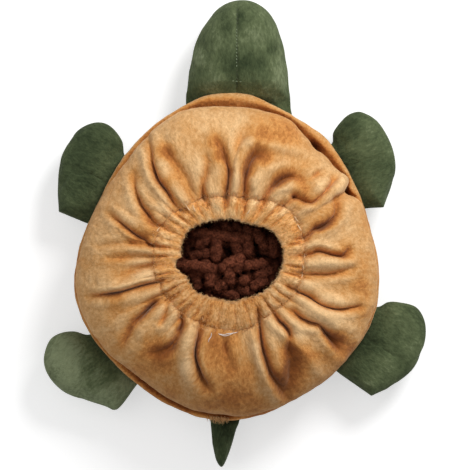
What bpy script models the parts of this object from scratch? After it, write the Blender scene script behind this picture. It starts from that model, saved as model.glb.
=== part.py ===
"""A plush turtle treat toy that lies on its shell, with its belly and its mouth up.

Tan belly cloth is sewn to a padded rim lip and gathered by an elastic round an oval mouth. In the
pouch under it lies a mat of chenille fingers, where treats hide. The head, the four flippers and
the tail are stuffed, and each hangs on its seam under the lip, which works as a soft hinge.

The turtle's head points to +Y. Left is -X, as seen from above. The shell rests on the plane z = 0,
and the origin is the middle of its flat crown panel. All lengths are in metres.
"""

import math

import bmesh
import bpy
from mathutils import Matrix, Vector, geometry

# Cloth and seams
CLOTH = 0.0018
SEAM_GAP = 0.0004
MERGE_DISTANCE = 0.00005
CUT_OVERRUN = 0.02

# Body outline seen from above: a mean radius and its waves, as (cosine, sine) shares
BODY_RADIUS = 0.1071
BODY_WAVE_SHARES = (
    (0.0014, -0.0187),
    (-0.0346, 0.0062),
    (-0.0047, -0.0266),
    (0.0140, 0.0005),
    (-0.0067, -0.0104),
)
BODY_STEPS = 48

# Shell back: a dome with a flat crown panel and six gore panels
SHELL_DEPTH = 0.0285
SHELL_HEM = 0.0045
SHELL_TUCK = 0.0087
SHELL_FLAT_RADIUS = 0.044
CROWN_PANEL_RADIUS = 0.042
SHELL_PROFILE_STEPS = 5
SHELL_GORES = (
    ("front_right", 30.0),
    ("head", 90.0),
    ("front_left", 150.0),
    ("rear_left", 210.0),
    ("tail", 270.0),
    ("rear_right", 330.0),
)

# Padded rim lip, wider where it shows beyond the belly cloth
LIP_HEIGHT = 0.0130
LIP_WIDTH = 0.0160
LIP_SHOW = 0.0012
LIP_HEAD_SHOW = 0.0090
LIP_HEAD_DEGREES = 80.0
LIP_TAIL_SHOW = 0.0035
LIP_TAIL_DEGREES = 238.0
LIP_SECTION_POINTS = 8
LIP_STEPS = 60

# Base padding: a dish of fibre filling with a raised border
PADDING_GAP = 0.0006
PADDING_LEVEL = 0.0200
PADDING_SHOULDER_WIDTH = 0.0184
PADDING_BORDER_WIDTH = 0.0040

# Chenille mat and its fingers
MAT_BACKING = 0.0030
MAT_ROUNDING = 0.0010
FINGER_DIAMETER = 0.0084
FINGER_SPACING = 0.0150
FINGER_ROW_PITCH = 0.0130
FINGER_FIELD_MARGIN = 0.0190
FINGER_HEIGHT = 0.0330
FINGER_CENTRE_RISE = 0.0040
FINGER_LEAN_WIDTH = 0.0165
FINGER_ROOT_DEPTH = 0.0015
FINGER_ROW_DEGREES = 28.0
FINGER_SWAY_DEGREES = 5.0
FINGER_SHAPE_SHARES = ((0.0, 0.0), (0.10, 0.40), (0.45, 0.80), (1.0, 1.0))
FINGER_GIRTH_SHARES = (0.92, 1.0, 1.0, 0.70)

# Mouth outline, its folded casing and the elastic in it
MOUTH_PLACE = Vector((0.0014, -0.0014))
MOUTH_RADIUS = 0.0318
MOUTH_WAVE_SHARES = (
    (0.0162, 0.0006),
    (0.1227, -0.0117),
    (0.0223, 0.0214),
    (-0.0003, 0.0086),
)
CASING_WIDTH = 0.0185
CASING_SEAM_WAVE_SHARES = (
    (-0.0117, -0.0157),
    (0.0661, 0.0169),
    (-0.0030, 0.0338),
    (-0.0063, -0.0012),
)
CASING_HEIGHT = 0.0068
CASING_GATHER = 0.0004
CASING_STEPS = 60
CASING_LINE_SHARES = (
    (0.88, -1.0), (0.14, -0.85), (0.0, 0.0), (0.14, 0.85), (0.55, 1.0), (1.0, 0.62),
)
ELASTIC_WIDTH = 0.0085
ELASTIC_THICKNESS = 0.0009
ELASTIC_PLACE_SHARE = 0.45

# Belly cloth: a line from the casing to the rim, as (span, height) shares, with its fold depths
SKIRT_CREST_LEVEL = 0.0755
SKIRT_LINE_SHARES = (
    (0.00, 0.965),
    (0.22, 1.00),
    (0.48, 0.92),
    (0.74, 0.72),
    (0.93, 0.46),
    (1.00, 0.20),
    (0.89, 0.00),
)
SKIRT_FOLD_DEPTH = 0.0050
SKIRT_FOLD_SHARES = (0.10, 0.42, 0.90, 1.00, 0.75, 0.40, 0.06)
SKIRT_CREASE_SHARES = (
    (2.0, 0.70), (17.0, 0.80), (35.0, 1.00), (46.0, 0.60), (58.0, 0.60), (74.0, 0.70),
    (91.0, 1.00), (107.0, 0.60), (130.0, 0.85), (148.0, 0.70), (162.0, 1.00), (178.0, 0.60),
    (196.0, 1.25), (213.0, 0.70), (228.0, 0.70), (245.0, 0.80), (261.0, 0.80), (286.0, 1.15),
    (303.0, 0.60), (320.0, 1.10), (336.0, 1.00), (349.0, 0.60),
)
FOLD_QUARTER_SHARES = (-1.0, 0.35, 0.80, 0.35)

# Limbs: hinge height, and for each its root and heading in degrees seen from above
LIMB_HINGE_HEIGHT = 0.0235
LIMB_ROOT_GAP = 0.0006
LIMB_TAPER = 0.0220
LIMB_ROOT_THICKNESS_SHARE = 0.26
LIMB_STUFFING_GAP = 0.0006
FLIPPERS = (
    ("front_left_flipper", "front", 150.1, 153.1),
    ("front_right_flipper", "front", 35.2, 26.9),
    ("rear_left_flipper", "rear", 221.3, 223.9),
    ("rear_right_flipper", "rear", 327.4, 328.0),
)
FLIPPER_CHORDS = {"front": 0.0572, "rear": 0.0507}
FLIPPER_REACHES = {"front": 0.0440, "rear": 0.0491}
FLIPPER_THICKNESSES = {"front": 0.0210, "rear": 0.0200}
FLIPPER_OUTLINE_SHARES = {
    "front": (
        (-0.50, 0.17), (-0.62, 0.46), (-0.62, 0.745), (-0.45, 0.945), (-0.24, 1.00),
        (-0.02, 0.96), (0.20, 0.87), (0.44, 0.665), (0.55, 0.55), (0.49, 0.17),
    ),
    "rear": (
        (-0.50, 0.16), (-0.73, 0.39), (-0.775, 0.59), (-0.705, 0.80), (-0.50, 0.957),
        (-0.237, 1.00), (0.012, 0.957), (0.288, 0.866), (0.536, 0.686), (0.50, 0.16),
    ),
}
FLIPPER_CORNER = 8
FLIPPER_ROOT_SHARE = 0.45

HEAD_PLACE_DEGREES = (86.2, 90.0)
HEAD_WIDTH = 0.0714
HEAD_REACH = 0.0746
HEAD_THICKNESS = 0.0420
HEAD_OUTLINE_SHARES = (
    (-0.50, 0.09), (-0.48, 0.32), (-0.43, 0.545), (-0.34, 0.77), (-0.25, 0.885), (-0.13, 0.965),
    (0.0, 1.0),
    (0.13, 0.965), (0.25, 0.885), (0.34, 0.77), (0.43, 0.545), (0.48, 0.32), (0.50, 0.09),
)
HEAD_ROOT_SHARE = 0.44
EYE_DIAMETER = 0.0090
EYE_THICKNESS = 0.0010
EYE_PLACE_SHARES = (0.26, 0.70)
EYE_TILT_DEGREES = 32.0

TAIL_PLACE_DEGREES = (268.6, 264.5)
TAIL_WIDTH = 0.0206
TAIL_REACH = 0.0441
TAIL_THICKNESS = 0.0150
TAIL_OUTLINE_SHARES = (
    (-0.50, 0.25), (-0.43, 0.445), (-0.363, 0.635), (-0.275, 0.825), (-0.13, 0.96),
    (0.0, 1.0),
    (0.13, 0.96), (0.275, 0.825), (0.363, 0.635), (0.43, 0.445), (0.50, 0.25),
)
TAIL_ROOT_SHARE = 0.46

# Surface colours, linear
GREEN_PLUSH = (0.085, 0.110, 0.052)
TAN_PLUSH = (0.560, 0.300, 0.120)
BROWN_CHENILLE = (0.048, 0.013, 0.007)
WHITE_FIBRE = (0.780, 0.770, 0.730)
BLACK_THREAD = (0.012, 0.010, 0.009)

LIP_LEVEL = SHELL_DEPTH + SEAM_GAP
SKIRT_FOOT_LEVEL = LIP_LEVEL + LIP_HEIGHT + 2 * SEAM_GAP
BODY_WALL_RADIUS = BODY_RADIUS - SHELL_TUCK
PADDING_DISH_RADIUS = BODY_WALL_RADIUS - PADDING_SHOULDER_WIDTH
FINGER_FIELD_RADIUS = PADDING_DISH_RADIUS - FINGER_FIELD_MARGIN


def new_collection(name):
    """Adds a collection to the scene."""
    collection = bpy.data.collections.new(name)
    bpy.context.scene.collection.children.link(collection)
    return collection


for leftover in list(bpy.data.objects):
    bpy.data.objects.remove(leftover, do_unlink=True)
PARTS = new_collection("turtle_treat_toy")
CUTTERS = new_collection("cutters")


def surface(name, colour, roughness):
    """A plain non-metal surface."""
    material = bpy.data.materials.new(name)
    material.use_nodes = True
    shader = material.node_tree.nodes["Principled BSDF"]
    shader.inputs["Base Color"].default_value = (*colour, 1)
    shader.inputs["Roughness"].default_value = roughness
    shader.inputs["Metallic"].default_value = 0
    return material


MATERIALS = {
    "green": surface("green_plush", GREEN_PLUSH, 0.95),
    "tan": surface("tan_plush", TAN_PLUSH, 0.92),
    "brown": surface("brown_chenille", BROWN_CHENILLE, 0.97),
    "fibre": surface("white_fibre", WHITE_FIBRE, 0.98),
    "thread": surface("black_thread", BLACK_THREAD, 0.55),
}


# Shared shapes


def wave_share(angle, shares):
    """How far an outline swells at an angle, as a share of its mean radius."""
    swell = 1.0
    for order, (cosine_share, sine_share) in enumerate(shares, start=1):
        swell += cosine_share * math.cos(order * angle) + sine_share * math.sin(order * angle)
    return swell


def body_share(angle):
    """The body's outline as a share of its mean radius."""
    return wave_share(angle, BODY_WAVE_SHARES)


def polar(radius, angle, level=0.0):
    """A point at a radius and an angle round Z."""
    return Vector((radius * math.cos(angle), radius * math.sin(angle), level))


def offset_line(line, distance):
    """Moves a line of (radius, height) points to its left by a distance."""
    points = [Vector(point) for point in line]
    moved = []
    for index, point in enumerate(points):
        before = points[max(index - 1, 0)]
        after = points[min(index + 1, len(points) - 1)]
        along = (after - before).normalized()
        moved.append(point + Vector((-along.y, along.x)) * distance)
    return moved


def smooth_step(share):
    """Eases a share from 0 to 1."""
    share = min(max(share, 0.0), 1.0)
    return share * share * (3 - 2 * share)


def new_object(name, mesh, collection, surface_name=None, parent=None):
    """Links a mesh as an object, smooth shaded, with its surface."""
    item = bpy.data.objects.new(name, mesh)
    collection.objects.link(item)
    item.parent = parent
    if surface_name:
        mesh.materials.clear()
        mesh.materials.append(MATERIALS[surface_name])
        mesh.shade_smooth()
        mesh.set_sharp_from_angle(angle=math.radians(50))
    else:
        item.hide_render = True
        item.display_type = "WIRE"
    return item


def evaluated_mesh(item):
    """The mesh of an object with its modifiers applied."""
    depsgraph = bpy.context.evaluated_depsgraph_get()
    return bpy.data.meshes.new_from_object(item.evaluated_get(depsgraph))


def turned_mesh(name, profile, steps, closed=False):
    """Turns a profile of (radius, height) points round Z, point by point within each step."""
    outline = bpy.data.meshes.new(name + "_profile")
    edges = [(index, index + 1) for index in range(len(profile) - 1)]
    if closed:
        edges.append((len(profile) - 1, 0))
    outline.from_pydata([(radius, 0, height) for radius, height in profile], edges, [])
    guide = new_object(name + "_guide", outline, CUTTERS)
    screw = guide.modifiers.new("Turn", "SCREW")
    screw.steps = steps
    screw.render_steps = steps
    screw.use_merge_vertices = True
    screw.merge_threshold = MERGE_DISTANCE
    mesh = evaluated_mesh(guide)
    mesh.name = name
    bpy.data.objects.remove(guide, do_unlink=True)
    bpy.data.meshes.remove(outline)
    return mesh


def swell_to_body(mesh):
    """Stretches a turned mesh from the mean circle to the body's outline."""
    for vertex in mesh.vertices:
        share = body_share(math.atan2(vertex.co.y, vertex.co.x))
        vertex.co.x *= share
        vertex.co.y *= share


def ring_of_sections(name, steps, section, place):
    """A closed ring with one section a step: place gives the real place of each section point."""
    mesh = turned_mesh(name, section, steps, closed=True)
    for index, vertex in enumerate(mesh.vertices):
        step, point = divmod(index, len(section))
        vertex.co = place(step, point)
    return mesh


def block(name, low, high, parent=None):
    """A box between two corners, used to cut."""
    mesh = bpy.data.meshes.new(name)
    builder = bmesh.new()
    bmesh.ops.create_cube(builder, size=1)
    middle = (Vector(low) + Vector(high)) / 2
    for vertex in builder.verts:
        vertex.co = middle + vertex.co * (Vector(high) - Vector(low))
    builder.to_mesh(mesh)
    builder.free()
    return new_object(name, mesh, CUTTERS, parent=parent)


def cut(item, cutter, operation="DIFFERENCE"):
    """Cuts an object with a cutter, or joins or keeps what they share."""
    boolean = item.modifiers.new(operation.title(), "BOOLEAN")
    boolean.operation = operation
    boolean.solver = "EXACT"
    boolean.object = cutter


# Shell back


def shell_line():
    """The dome's profile from the flat crown out to its upright hem, as (radius, height)."""
    line = []
    for step in range(SHELL_PROFILE_STEPS + 1):
        angle = math.pi / 2 * step / SHELL_PROFILE_STEPS
        radius = SHELL_FLAT_RADIUS + (BODY_WALL_RADIUS - SHELL_FLAT_RADIUS) * math.sin(angle)
        line.append((radius, (SHELL_DEPTH - SHELL_HEM) * (1 - math.cos(angle))))
    line.append((BODY_WALL_RADIUS, SHELL_DEPTH))
    return line


def shell_radius(level):
    """The dome's mean outer radius at a height."""
    line = shell_line()
    for (low_radius, low), (high_radius, high) in zip(line, line[1:]):
        if low <= level <= high:
            return low_radius + (high_radius - low_radius) * (level - low) / (high - low)
    return BODY_WALL_RADIUS


def shell_dome(name):
    """The whole dome as a cloth shell, before its panels are cut apart."""
    mesh = turned_mesh(name, [*reversed(shell_line()), (0, 0)], BODY_STEPS)
    swell_to_body(mesh)
    dome = new_object(name, mesh, PARTS, "green")
    shell = dome.modifiers.new("Cloth", "SOLIDIFY")
    shell.thickness = CLOTH
    shell.offset = -1
    shell.use_even_offset = True
    return dome


def crown_prism(name, radius):
    """A six-sided prism through the dome's flat crown, with its corners on the gore seams."""
    mesh = bpy.data.meshes.new(name)
    builder = bmesh.new()
    height = CLOTH + 2 * CUT_OVERRUN
    corners = len(SHELL_GORES)
    turn = Matrix.Rotation(math.pi / corners, 4, "Z")
    bmesh.ops.create_cone(
        builder, cap_ends=True, segments=corners, radius1=radius, radius2=radius, depth=height,
        matrix=turn,
    )
    builder.to_mesh(mesh)
    builder.free()
    return new_object(name, mesh, CUTTERS)


def gore_wedge(name, degrees):
    """A wedge from the crown out past the rim, half a seam gap in from each radial seam."""
    reach = BODY_RADIUS + CUT_OVERRUN
    mesh = bpy.data.meshes.new(name)
    builder = bmesh.new()
    bmesh.ops.create_cube(builder, size=1)
    middle = math.radians(degrees)
    outward = polar(1, middle)
    sideways = polar(1, middle + math.pi / 2)
    for vertex in builder.verts:
        out = SHELL_FLAT_RADIUS / 2 if vertex.co.x < 0 else 2 * reach
        half_width = out * math.tan(math.pi / len(SHELL_GORES)) - SEAM_GAP / 2
        side = math.copysign(half_width, vertex.co.y)
        level = math.copysign(SHELL_DEPTH + CUT_OVERRUN, vertex.co.z)
        vertex.co = outward * out + sideways * side + Vector((0, 0, level))
    builder.to_mesh(mesh)
    builder.free()
    return new_object(name, mesh, CUTTERS)


def make_shell():
    """The crown panel and the six gore panels round it."""
    crown = shell_dome("shell_crown_panel")
    cut(crown, crown_prism("crown_outline", CROWN_PANEL_RADIUS - SEAM_GAP), "INTERSECT")
    clearing = crown_prism("crown_clearing", CROWN_PANEL_RADIUS)
    for name, degrees in SHELL_GORES:
        gore = shell_dome("shell_gore_" + name)
        cut(gore, gore_wedge("wedge_" + name, degrees), "INTERSECT")
        cut(gore, clearing)


# Rim lip, padding and mat


def lip_show(angle):
    """How far the lip shows beyond the belly cloth at an angle."""
    head = max(math.cos(angle - math.radians(LIP_HEAD_DEGREES)), 0.0) ** 3
    tail = max(math.cos(angle - math.radians(LIP_TAIL_DEGREES)), 0.0) ** 3
    return LIP_SHOW + LIP_HEAD_SHOW * head + LIP_TAIL_SHOW * tail


def make_lip():
    """The padded lip: an oval section that widens inward where more of it shows."""
    section = []
    for point in range(LIP_SECTION_POINTS):
        angle = math.pi / 2 - 2 * math.pi * point / LIP_SECTION_POINTS
        section.append((BODY_RADIUS + LIP_WIDTH / 2 * math.cos(angle), LIP_HEIGHT / 2 * math.sin(angle)))

    def place(step, point):
        angle = 2 * math.pi * step / LIP_STEPS
        width = LIP_WIDTH + lip_show(angle) - LIP_SHOW
        turn = math.pi / 2 - 2 * math.pi * point / LIP_SECTION_POINTS
        radius = BODY_RADIUS * body_share(angle) - width / 2 + width / 2 * math.cos(turn)
        return polar(radius, angle, LIP_LEVEL + LIP_HEIGHT / 2 * (1 + math.sin(turn)))

    mesh = ring_of_sections("rim_lip", LIP_STEPS, section, place)
    new_object("rim_lip", mesh, PARTS, "tan")


def make_padding():
    """The filling: its underside lies in the dome and its top is a dish for the mat."""
    outside = offset_line(shell_line(), CLOTH + PADDING_GAP)
    border = SHELL_DEPTH - PADDING_GAP
    below, above = outside[-2:]
    rim = below.lerp(above, (border - below.y) / (above.y - below.y))
    profile = [
        (0, PADDING_LEVEL),
        (PADDING_DISH_RADIUS, PADDING_LEVEL),
        (PADDING_DISH_RADIUS + PADDING_BORDER_WIDTH, border),
        (rim.x, border),
        *reversed(outside[:-1]),
        (0, CLOTH + PADDING_GAP),
    ]
    mesh = turned_mesh("base_padding", profile, BODY_STEPS)
    swell_to_body(mesh)
    new_object("base_padding", mesh, PARTS, "fibre")


def finger_roots():
    """The rows of fingers round the middle of the mouth, as (row, root place) pairs."""
    roots = []
    turn = Matrix.Rotation(math.radians(FINGER_ROW_DEGREES), 2)
    rows = math.ceil(FINGER_FIELD_RADIUS / FINGER_ROW_PITCH)
    columns = math.ceil(FINGER_FIELD_RADIUS / FINGER_SPACING) + 1
    for row in range(-rows, rows + 1):
        for column in range(-columns, columns + 1):
            place = Vector(((column + row % 2 / 2) * FINGER_SPACING, row * FINGER_ROW_PITCH))
            if place.length <= FINGER_FIELD_RADIUS:
                roots.append((row, turn @ place))
    return roots


def finger_points(row, place, base):
    """A finger's middle line: up from its root and over along its row, each row the other way."""
    near = 1 - place.length_squared / FINGER_FIELD_RADIUS ** 2
    height = FINGER_HEIGHT + FINGER_CENTRE_RISE * near
    sway = FINGER_SWAY_DEGREES * math.sin(math.pi * place.x / FINGER_FIELD_RADIUS)
    lean = polar(FINGER_LEAN_WIDTH, math.radians(FINGER_ROW_DEGREES + 180 * (row % 2) + sway))
    root = Vector((MOUTH_PLACE.x + place.x, MOUTH_PLACE.y + place.y, base)) - lean / 2
    points = [root - Vector((0, 0, FINGER_ROOT_DEPTH))]
    for out_share, rise_share in FINGER_SHAPE_SHARES[1:]:
        points.append(root + lean * out_share + Vector((0, 0, height * rise_share)))
    return points


def make_mat():
    """The chenille mat: a round backing with its fingers fused to it."""
    base = PADDING_LEVEL + SEAM_GAP
    top = base + MAT_BACKING
    radius = PADDING_DISH_RADIUS - SEAM_GAP
    profile = [
        (0, top),
        (radius - MAT_ROUNDING, top),
        (radius, top - MAT_ROUNDING),
        (radius, base),
        (0, base),
    ]
    backing = turned_mesh("chenille_mat", profile, BODY_STEPS)
    swell_to_body(backing)
    mat = new_object("chenille_mat", backing, PARTS, "brown")

    curve = bpy.data.curves.new("chenille_finger_lines", "CURVE")
    curve.dimensions = "3D"
    curve.bevel_depth = FINGER_DIAMETER / 2
    curve.bevel_resolution = 1
    curve.use_fill_caps = True
    for row, place in finger_roots():
        points = finger_points(row, place, top)
        spline = curve.splines.new("POLY")
        spline.points.add(len(points) - 1)
        for target, point, girth in zip(spline.points, points, FINGER_GIRTH_SHARES):
            target.co = (*point, 1)
            target.radius = girth
    guide = bpy.data.objects.new("chenille_finger_guide", curve)
    CUTTERS.objects.link(guide)
    tubes = evaluated_mesh(guide)
    bpy.data.objects.remove(guide, do_unlink=True)
    builder = bmesh.new()
    builder.from_mesh(tubes)
    bmesh.ops.remove_doubles(builder, verts=builder.verts, dist=MERGE_DISTANCE)
    builder.to_mesh(tubes)
    builder.free()
    cut(mat, new_object("chenille_fingers", tubes, CUTTERS), "UNION")


# Mouth casing, elastic and belly cloth


def mouth_radius(angle):
    """The mouth edge's radius about the middle of the mouth."""
    return MOUTH_RADIUS * wave_share(angle, MOUTH_WAVE_SHARES)


def casing_width(angle):
    """The casing's width from the mouth edge to its outer seam."""
    seam = (MOUTH_RADIUS + CASING_WIDTH) * wave_share(angle, CASING_SEAM_WAVE_SHARES)
    return seam - mouth_radius(angle)


def mouth_point(radius, angle, level):
    """A point about the middle of the mouth."""
    return Vector((*MOUTH_PLACE, 0)) + polar(radius, angle, level)


def casing_level():
    """The height of the casing's middle, level with the top of the belly cloth."""
    rise = SKIRT_CREST_LEVEL - SKIRT_FOOT_LEVEL
    return SKIRT_FOOT_LEVEL + rise * SKIRT_LINE_SHARES[0][1] - CLOTH / 2


def cloth_section(line):
    """A band of cloth along a line: out on its outer side and back inside, with its normals."""
    normals = [moved - Vector(point) for moved, point in zip(offset_line(line, 1), line)]
    inner = [Vector(point) - normal * CLOTH for point, normal in zip(line, normals)]
    return [*line, *reversed(inner)], normals


def section_row(point, rows):
    """The row of a cloth section's point and how far it lies under the outer side."""
    if point < rows:
        return point, 0
    return 2 * rows - 1 - point, CLOTH


def make_casing():
    """The folded casing: cloth runs under the elastic, round the mouth edge and back over it."""
    half = CASING_HEIGHT / 2
    line = [(BODY_RADIUS + out * CASING_WIDTH, half * up) for out, up in CASING_LINE_SHARES]
    section, normals = cloth_section(line)
    level = casing_level()

    def place(step, point):
        angle = 2 * math.pi * step / CASING_STEPS
        row, inset = section_row(point, len(line))
        out_share = CASING_LINE_SHARES[row][0]
        gather = CASING_GATHER * (1 if step % 2 else -1) * math.sin(math.pi * out_share)
        radius = mouth_radius(angle) + casing_width(angle) * out_share - normals[row].x * inset
        return mouth_point(radius, angle, level + line[row][1] + gather - normals[row].y * inset)

    mesh = ring_of_sections("mouth_casing", CASING_STEPS, section, place)
    new_object("mouth_casing", mesh, PARTS, "tan")


def make_elastic():
    """The flat elastic band that runs round inside the casing."""
    half_width = ELASTIC_WIDTH / 2
    half_thickness = ELASTIC_THICKNESS / 2
    section = (
        (-half_width, half_thickness),
        (half_width, half_thickness),
        (half_width, -half_thickness),
        (-half_width, -half_thickness),
    )
    flat = [(BODY_RADIUS + across, height) for across, height in section]
    level = casing_level()

    def place(step, point):
        angle = 2 * math.pi * step / CASING_STEPS
        across, height = section[point]
        middle = mouth_radius(angle) + casing_width(angle) * ELASTIC_PLACE_SHARE
        return mouth_point(middle + across, angle, level + height)

    mesh = ring_of_sections("mouth_elastic", CASING_STEPS, flat, place)
    new_object("mouth_elastic", mesh, PARTS, "fibre")


def fold_step(step):
    """The angle and the fold height of one step round the belly cloth, four steps to a fold."""
    fold, quarter = divmod(step, len(FOLD_QUARTER_SHARES))
    start, start_depth = SKIRT_CREASE_SHARES[fold]
    end, end_depth = SKIRT_CREASE_SHARES[(fold + 1) % len(SKIRT_CREASE_SHARES)]
    if end < start:
        end += 360
    share = quarter / len(FOLD_QUARTER_SHARES)
    depth = start_depth + (end_depth - start_depth) * share
    return math.radians(start + (end - start) * share), depth * FOLD_QUARTER_SHARES[quarter]


def make_skirt():
    """The gathered belly cloth: main folds run from the casing, widen, and fade at the rim."""
    rise = SKIRT_CREST_LEVEL - SKIRT_FOOT_LEVEL
    span = BODY_RADIUS - MOUTH_RADIUS - CASING_WIDTH
    line = [(BODY_RADIUS + out * span, SKIRT_FOOT_LEVEL + up * rise) for out, up in SKIRT_LINE_SHARES]
    section, normals = cloth_section(line)

    def place(step, point):
        angle, fold = fold_step(step)
        row, inset = section_row(point, len(line))
        seam = mouth_radius(angle) + casing_width(angle) + SEAM_GAP
        inner = mouth_point(seam, angle, 0)
        outer = polar(BODY_RADIUS * body_share(angle) - lip_show(angle), angle)
        outward = (outer - inner).normalized()
        lift = SKIRT_FOLD_DEPTH * SKIRT_FOLD_SHARES[row] * fold - inset
        spot = inner.lerp(outer, SKIRT_LINE_SHARES[row][0]) + outward * normals[row].x * lift
        spot.z = line[row][1] + normals[row].y * lift
        return spot

    steps = len(SKIRT_CREASE_SHARES) * len(FOLD_QUARTER_SHARES)
    mesh = ring_of_sections("belly_skirt", steps, section, place)
    new_object("belly_skirt", mesh, PARTS, "tan")


# Stuffed limbs


def smooth_outline(points, corner, pieces):
    """Rounds a line of points, all but its corner, with each stretch in a few pieces."""
    rounded = []
    for index in range(len(points) - 1):
        ends = []
        for at in (index, index + 1):
            if at in (0, corner, len(points) - 1):
                ends.append(Vector((0, 0)))
            else:
                ends.append((points[at + 1] - points[at - 1]) / 6)
        start = points[index]
        end = points[index + 1]
        bend = geometry.interpolate_bezier(start, start + ends[0], end - ends[1], end, pieces + 1)
        rounded.extend(point.copy() for point in bend[:-1])
    rounded.append(points[-1])
    return rounded


def limb_pivot(name, root_degrees, heading_degrees):
    """The hinge of a limb: an empty on the seam, its X along the hinge and its Y outward."""
    root = math.radians(root_degrees)
    radius = shell_radius(LIMB_HINGE_HEIGHT) * body_share(root) + LIMB_ROOT_GAP
    pivot = bpy.data.objects.new(name + "_hinge", None)
    pivot.location = polar(radius, root, LIMB_HINGE_HEIGHT)
    pivot.rotation_euler.z = math.radians(heading_degrees - 90)
    PARTS.objects.link(pivot)
    return pivot


def root_line(pivot, root_degrees, half_width, count):
    """The limb's root edge, which follows the shell just inside the lip, in the hinge's frame."""
    wall = shell_radius(LIMB_HINGE_HEIGHT)
    half_angle = math.asin(half_width / (wall * body_share(math.radians(root_degrees))))
    turn = Matrix.Rotation(-pivot.rotation_euler.z, 3, "Z")
    points = []
    for index in range(count):
        angle = math.radians(root_degrees) + half_angle * (1 - 2 * index / (count - 1))
        spot = polar(wall * body_share(angle) + LIMB_ROOT_GAP, angle, LIMB_HINGE_HEIGHT)
        points.append((turn @ (spot - pivot.location)).to_2d())
    return points


def pillow(name, ring, middle, thickness, grow, rows):
    """A stuffed form with a given edge line, thin at its root and full further out."""
    mesh = bpy.data.meshes.new(name)
    builder = bmesh.new()
    count = len(ring)
    bmesh.ops.create_uvsphere(builder, u_segments=count, v_segments=rows, radius=1)
    for vertex in builder.verts:
        index = round(math.atan2(vertex.co.y, vertex.co.x) / (2 * math.pi / count)) % count
        reach = ring[index] - middle
        level_share = math.sqrt(vertex.co.x ** 2 + vertex.co.y ** 2)
        spot = middle + reach * (1 + grow / reach.length) * level_share
        taper = smooth_step(spot.y / LIMB_TAPER)
        fullness = LIMB_ROOT_THICKNESS_SHARE + (1 - LIMB_ROOT_THICKNESS_SHARE) * taper
        vertex.co = (spot.x, spot.y, vertex.co.z * (thickness / 2 * fullness + grow))
    bmesh.ops.triangulate(builder, faces=builder.faces, quad_method="FIXED")
    builder.to_mesh(mesh)
    builder.free()
    return mesh


def stuffed_limb(name, pivot, ring, middle, thickness, rows, belly_sides=("",)):
    """The cloth panels of a limb with a seam at mid height, and the stuffing inside them."""
    reach = max(point.length for point in ring) + CUT_OVERRUN
    inside = pillow(name + "_hollow", ring, middle, thickness, -CLOTH, rows)
    hollow = new_object(name + "_hollow", inside, CUTTERS, None, pivot)
    seam = SEAM_GAP / 2
    above = block(name + "_above", (-reach, -reach, -seam), (reach, reach, reach), pivot)
    below = block(name + "_below", (-reach, -reach, -reach), (reach, reach, seam), pivot)
    for side in belly_sides:
        panel_name = name + "_belly" + side + "_panel"
        cover = pillow(panel_name, ring, middle, thickness, 0, rows)
        panel = new_object(panel_name, cover, PARTS, "green", pivot)
        cut(panel, hollow)
        cut(panel, below)
        if side:
            low = -seam if side == "_left" else -reach
            high = reach if side == "_left" else seam
            cut(panel, block(panel_name + "_half", (low, -reach, -reach), (high, reach, reach), pivot))
    cover = pillow(name + "_back_panel", ring, middle, thickness, 0, rows)
    back = new_object(name + "_back_panel", cover, PARTS, "green", pivot)
    cut(back, hollow)
    cut(back, above)
    filling = pillow(name + "_stuffing", ring, middle, thickness, -CLOTH - LIMB_STUFFING_GAP, rows)
    new_object(name + "_stuffing", filling, PARTS, "fibre", pivot)


def make_flippers():
    """Four fins with a straight trailing edge and a pointed rear corner."""
    for name, kind, root_degrees, heading_degrees in FLIPPERS:
        chord = FLIPPER_CHORDS[kind]
        reach = FLIPPER_REACHES[kind]
        pivot = limb_pivot(name, root_degrees, heading_degrees)
        mirror = -1 if "left" in name else 1
        outline = [Vector((mirror * x * chord, y * reach)) for x, y in FLIPPER_OUTLINE_SHARES[kind]]
        edge = smooth_outline(outline, FLIPPER_CORNER, 2)
        if mirror == 1:
            edge.reverse()
        ring = edge + root_line(pivot, root_degrees, FLIPPER_ROOT_SHARE * chord, 4)
        middle = Vector((0, reach / 2))
        stuffed_limb(name, pivot, ring, middle, FLIPPER_THICKNESSES[kind], 6)


def make_head():
    """The head: two chin panels with a centre seam, a crown panel and two sewn eyes."""
    pivot = limb_pivot("head", *HEAD_PLACE_DEGREES)
    outline = [Vector((x * HEAD_WIDTH, y * HEAD_REACH)) for x, y in reversed(HEAD_OUTLINE_SHARES)]
    ring = outline + root_line(pivot, HEAD_PLACE_DEGREES[0], HEAD_ROOT_SHARE * HEAD_WIDTH, 5)
    middle = Vector((0, HEAD_REACH / 2))
    rows = 8
    stuffed_limb("head", pivot, ring, middle, HEAD_THICKNESS, rows, ("_left", "_right"))
    inner = pillow("eye_inner", ring, middle, HEAD_THICKNESS, SEAM_GAP, rows)
    under = new_object("eye_inner", inner, CUTTERS, None, pivot)
    outer = pillow("eye_outer", ring, middle, HEAD_THICKNESS, SEAM_GAP + EYE_THICKNESS, rows)
    over = new_object("eye_outer", outer, CUTTERS, None, pivot)
    for name, side in (("head_left_eye", -1), ("head_right_eye", 1)):
        builder = bmesh.new()
        bmesh.ops.create_cone(
            builder, cap_ends=True, segments=14, radius1=EYE_DIAMETER / 2, radius2=EYE_DIAMETER / 2,
            depth=HEAD_THICKNESS,
        )
        mesh = bpy.data.meshes.new(name)
        builder.to_mesh(mesh)
        builder.free()
        eye = new_object(name, mesh, PARTS, "thread", pivot)
        tilt = side * math.radians(EYE_TILT_DEGREES)
        across, along = EYE_PLACE_SHARES
        centre = Vector((side * across * HEAD_WIDTH, along * HEAD_REACH, -HEAD_THICKNESS / 2))
        eye.location = centre
        eye.rotation_euler.y = -tilt
        cut(eye, over, "INTERSECT")
        cut(eye, under)


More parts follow.
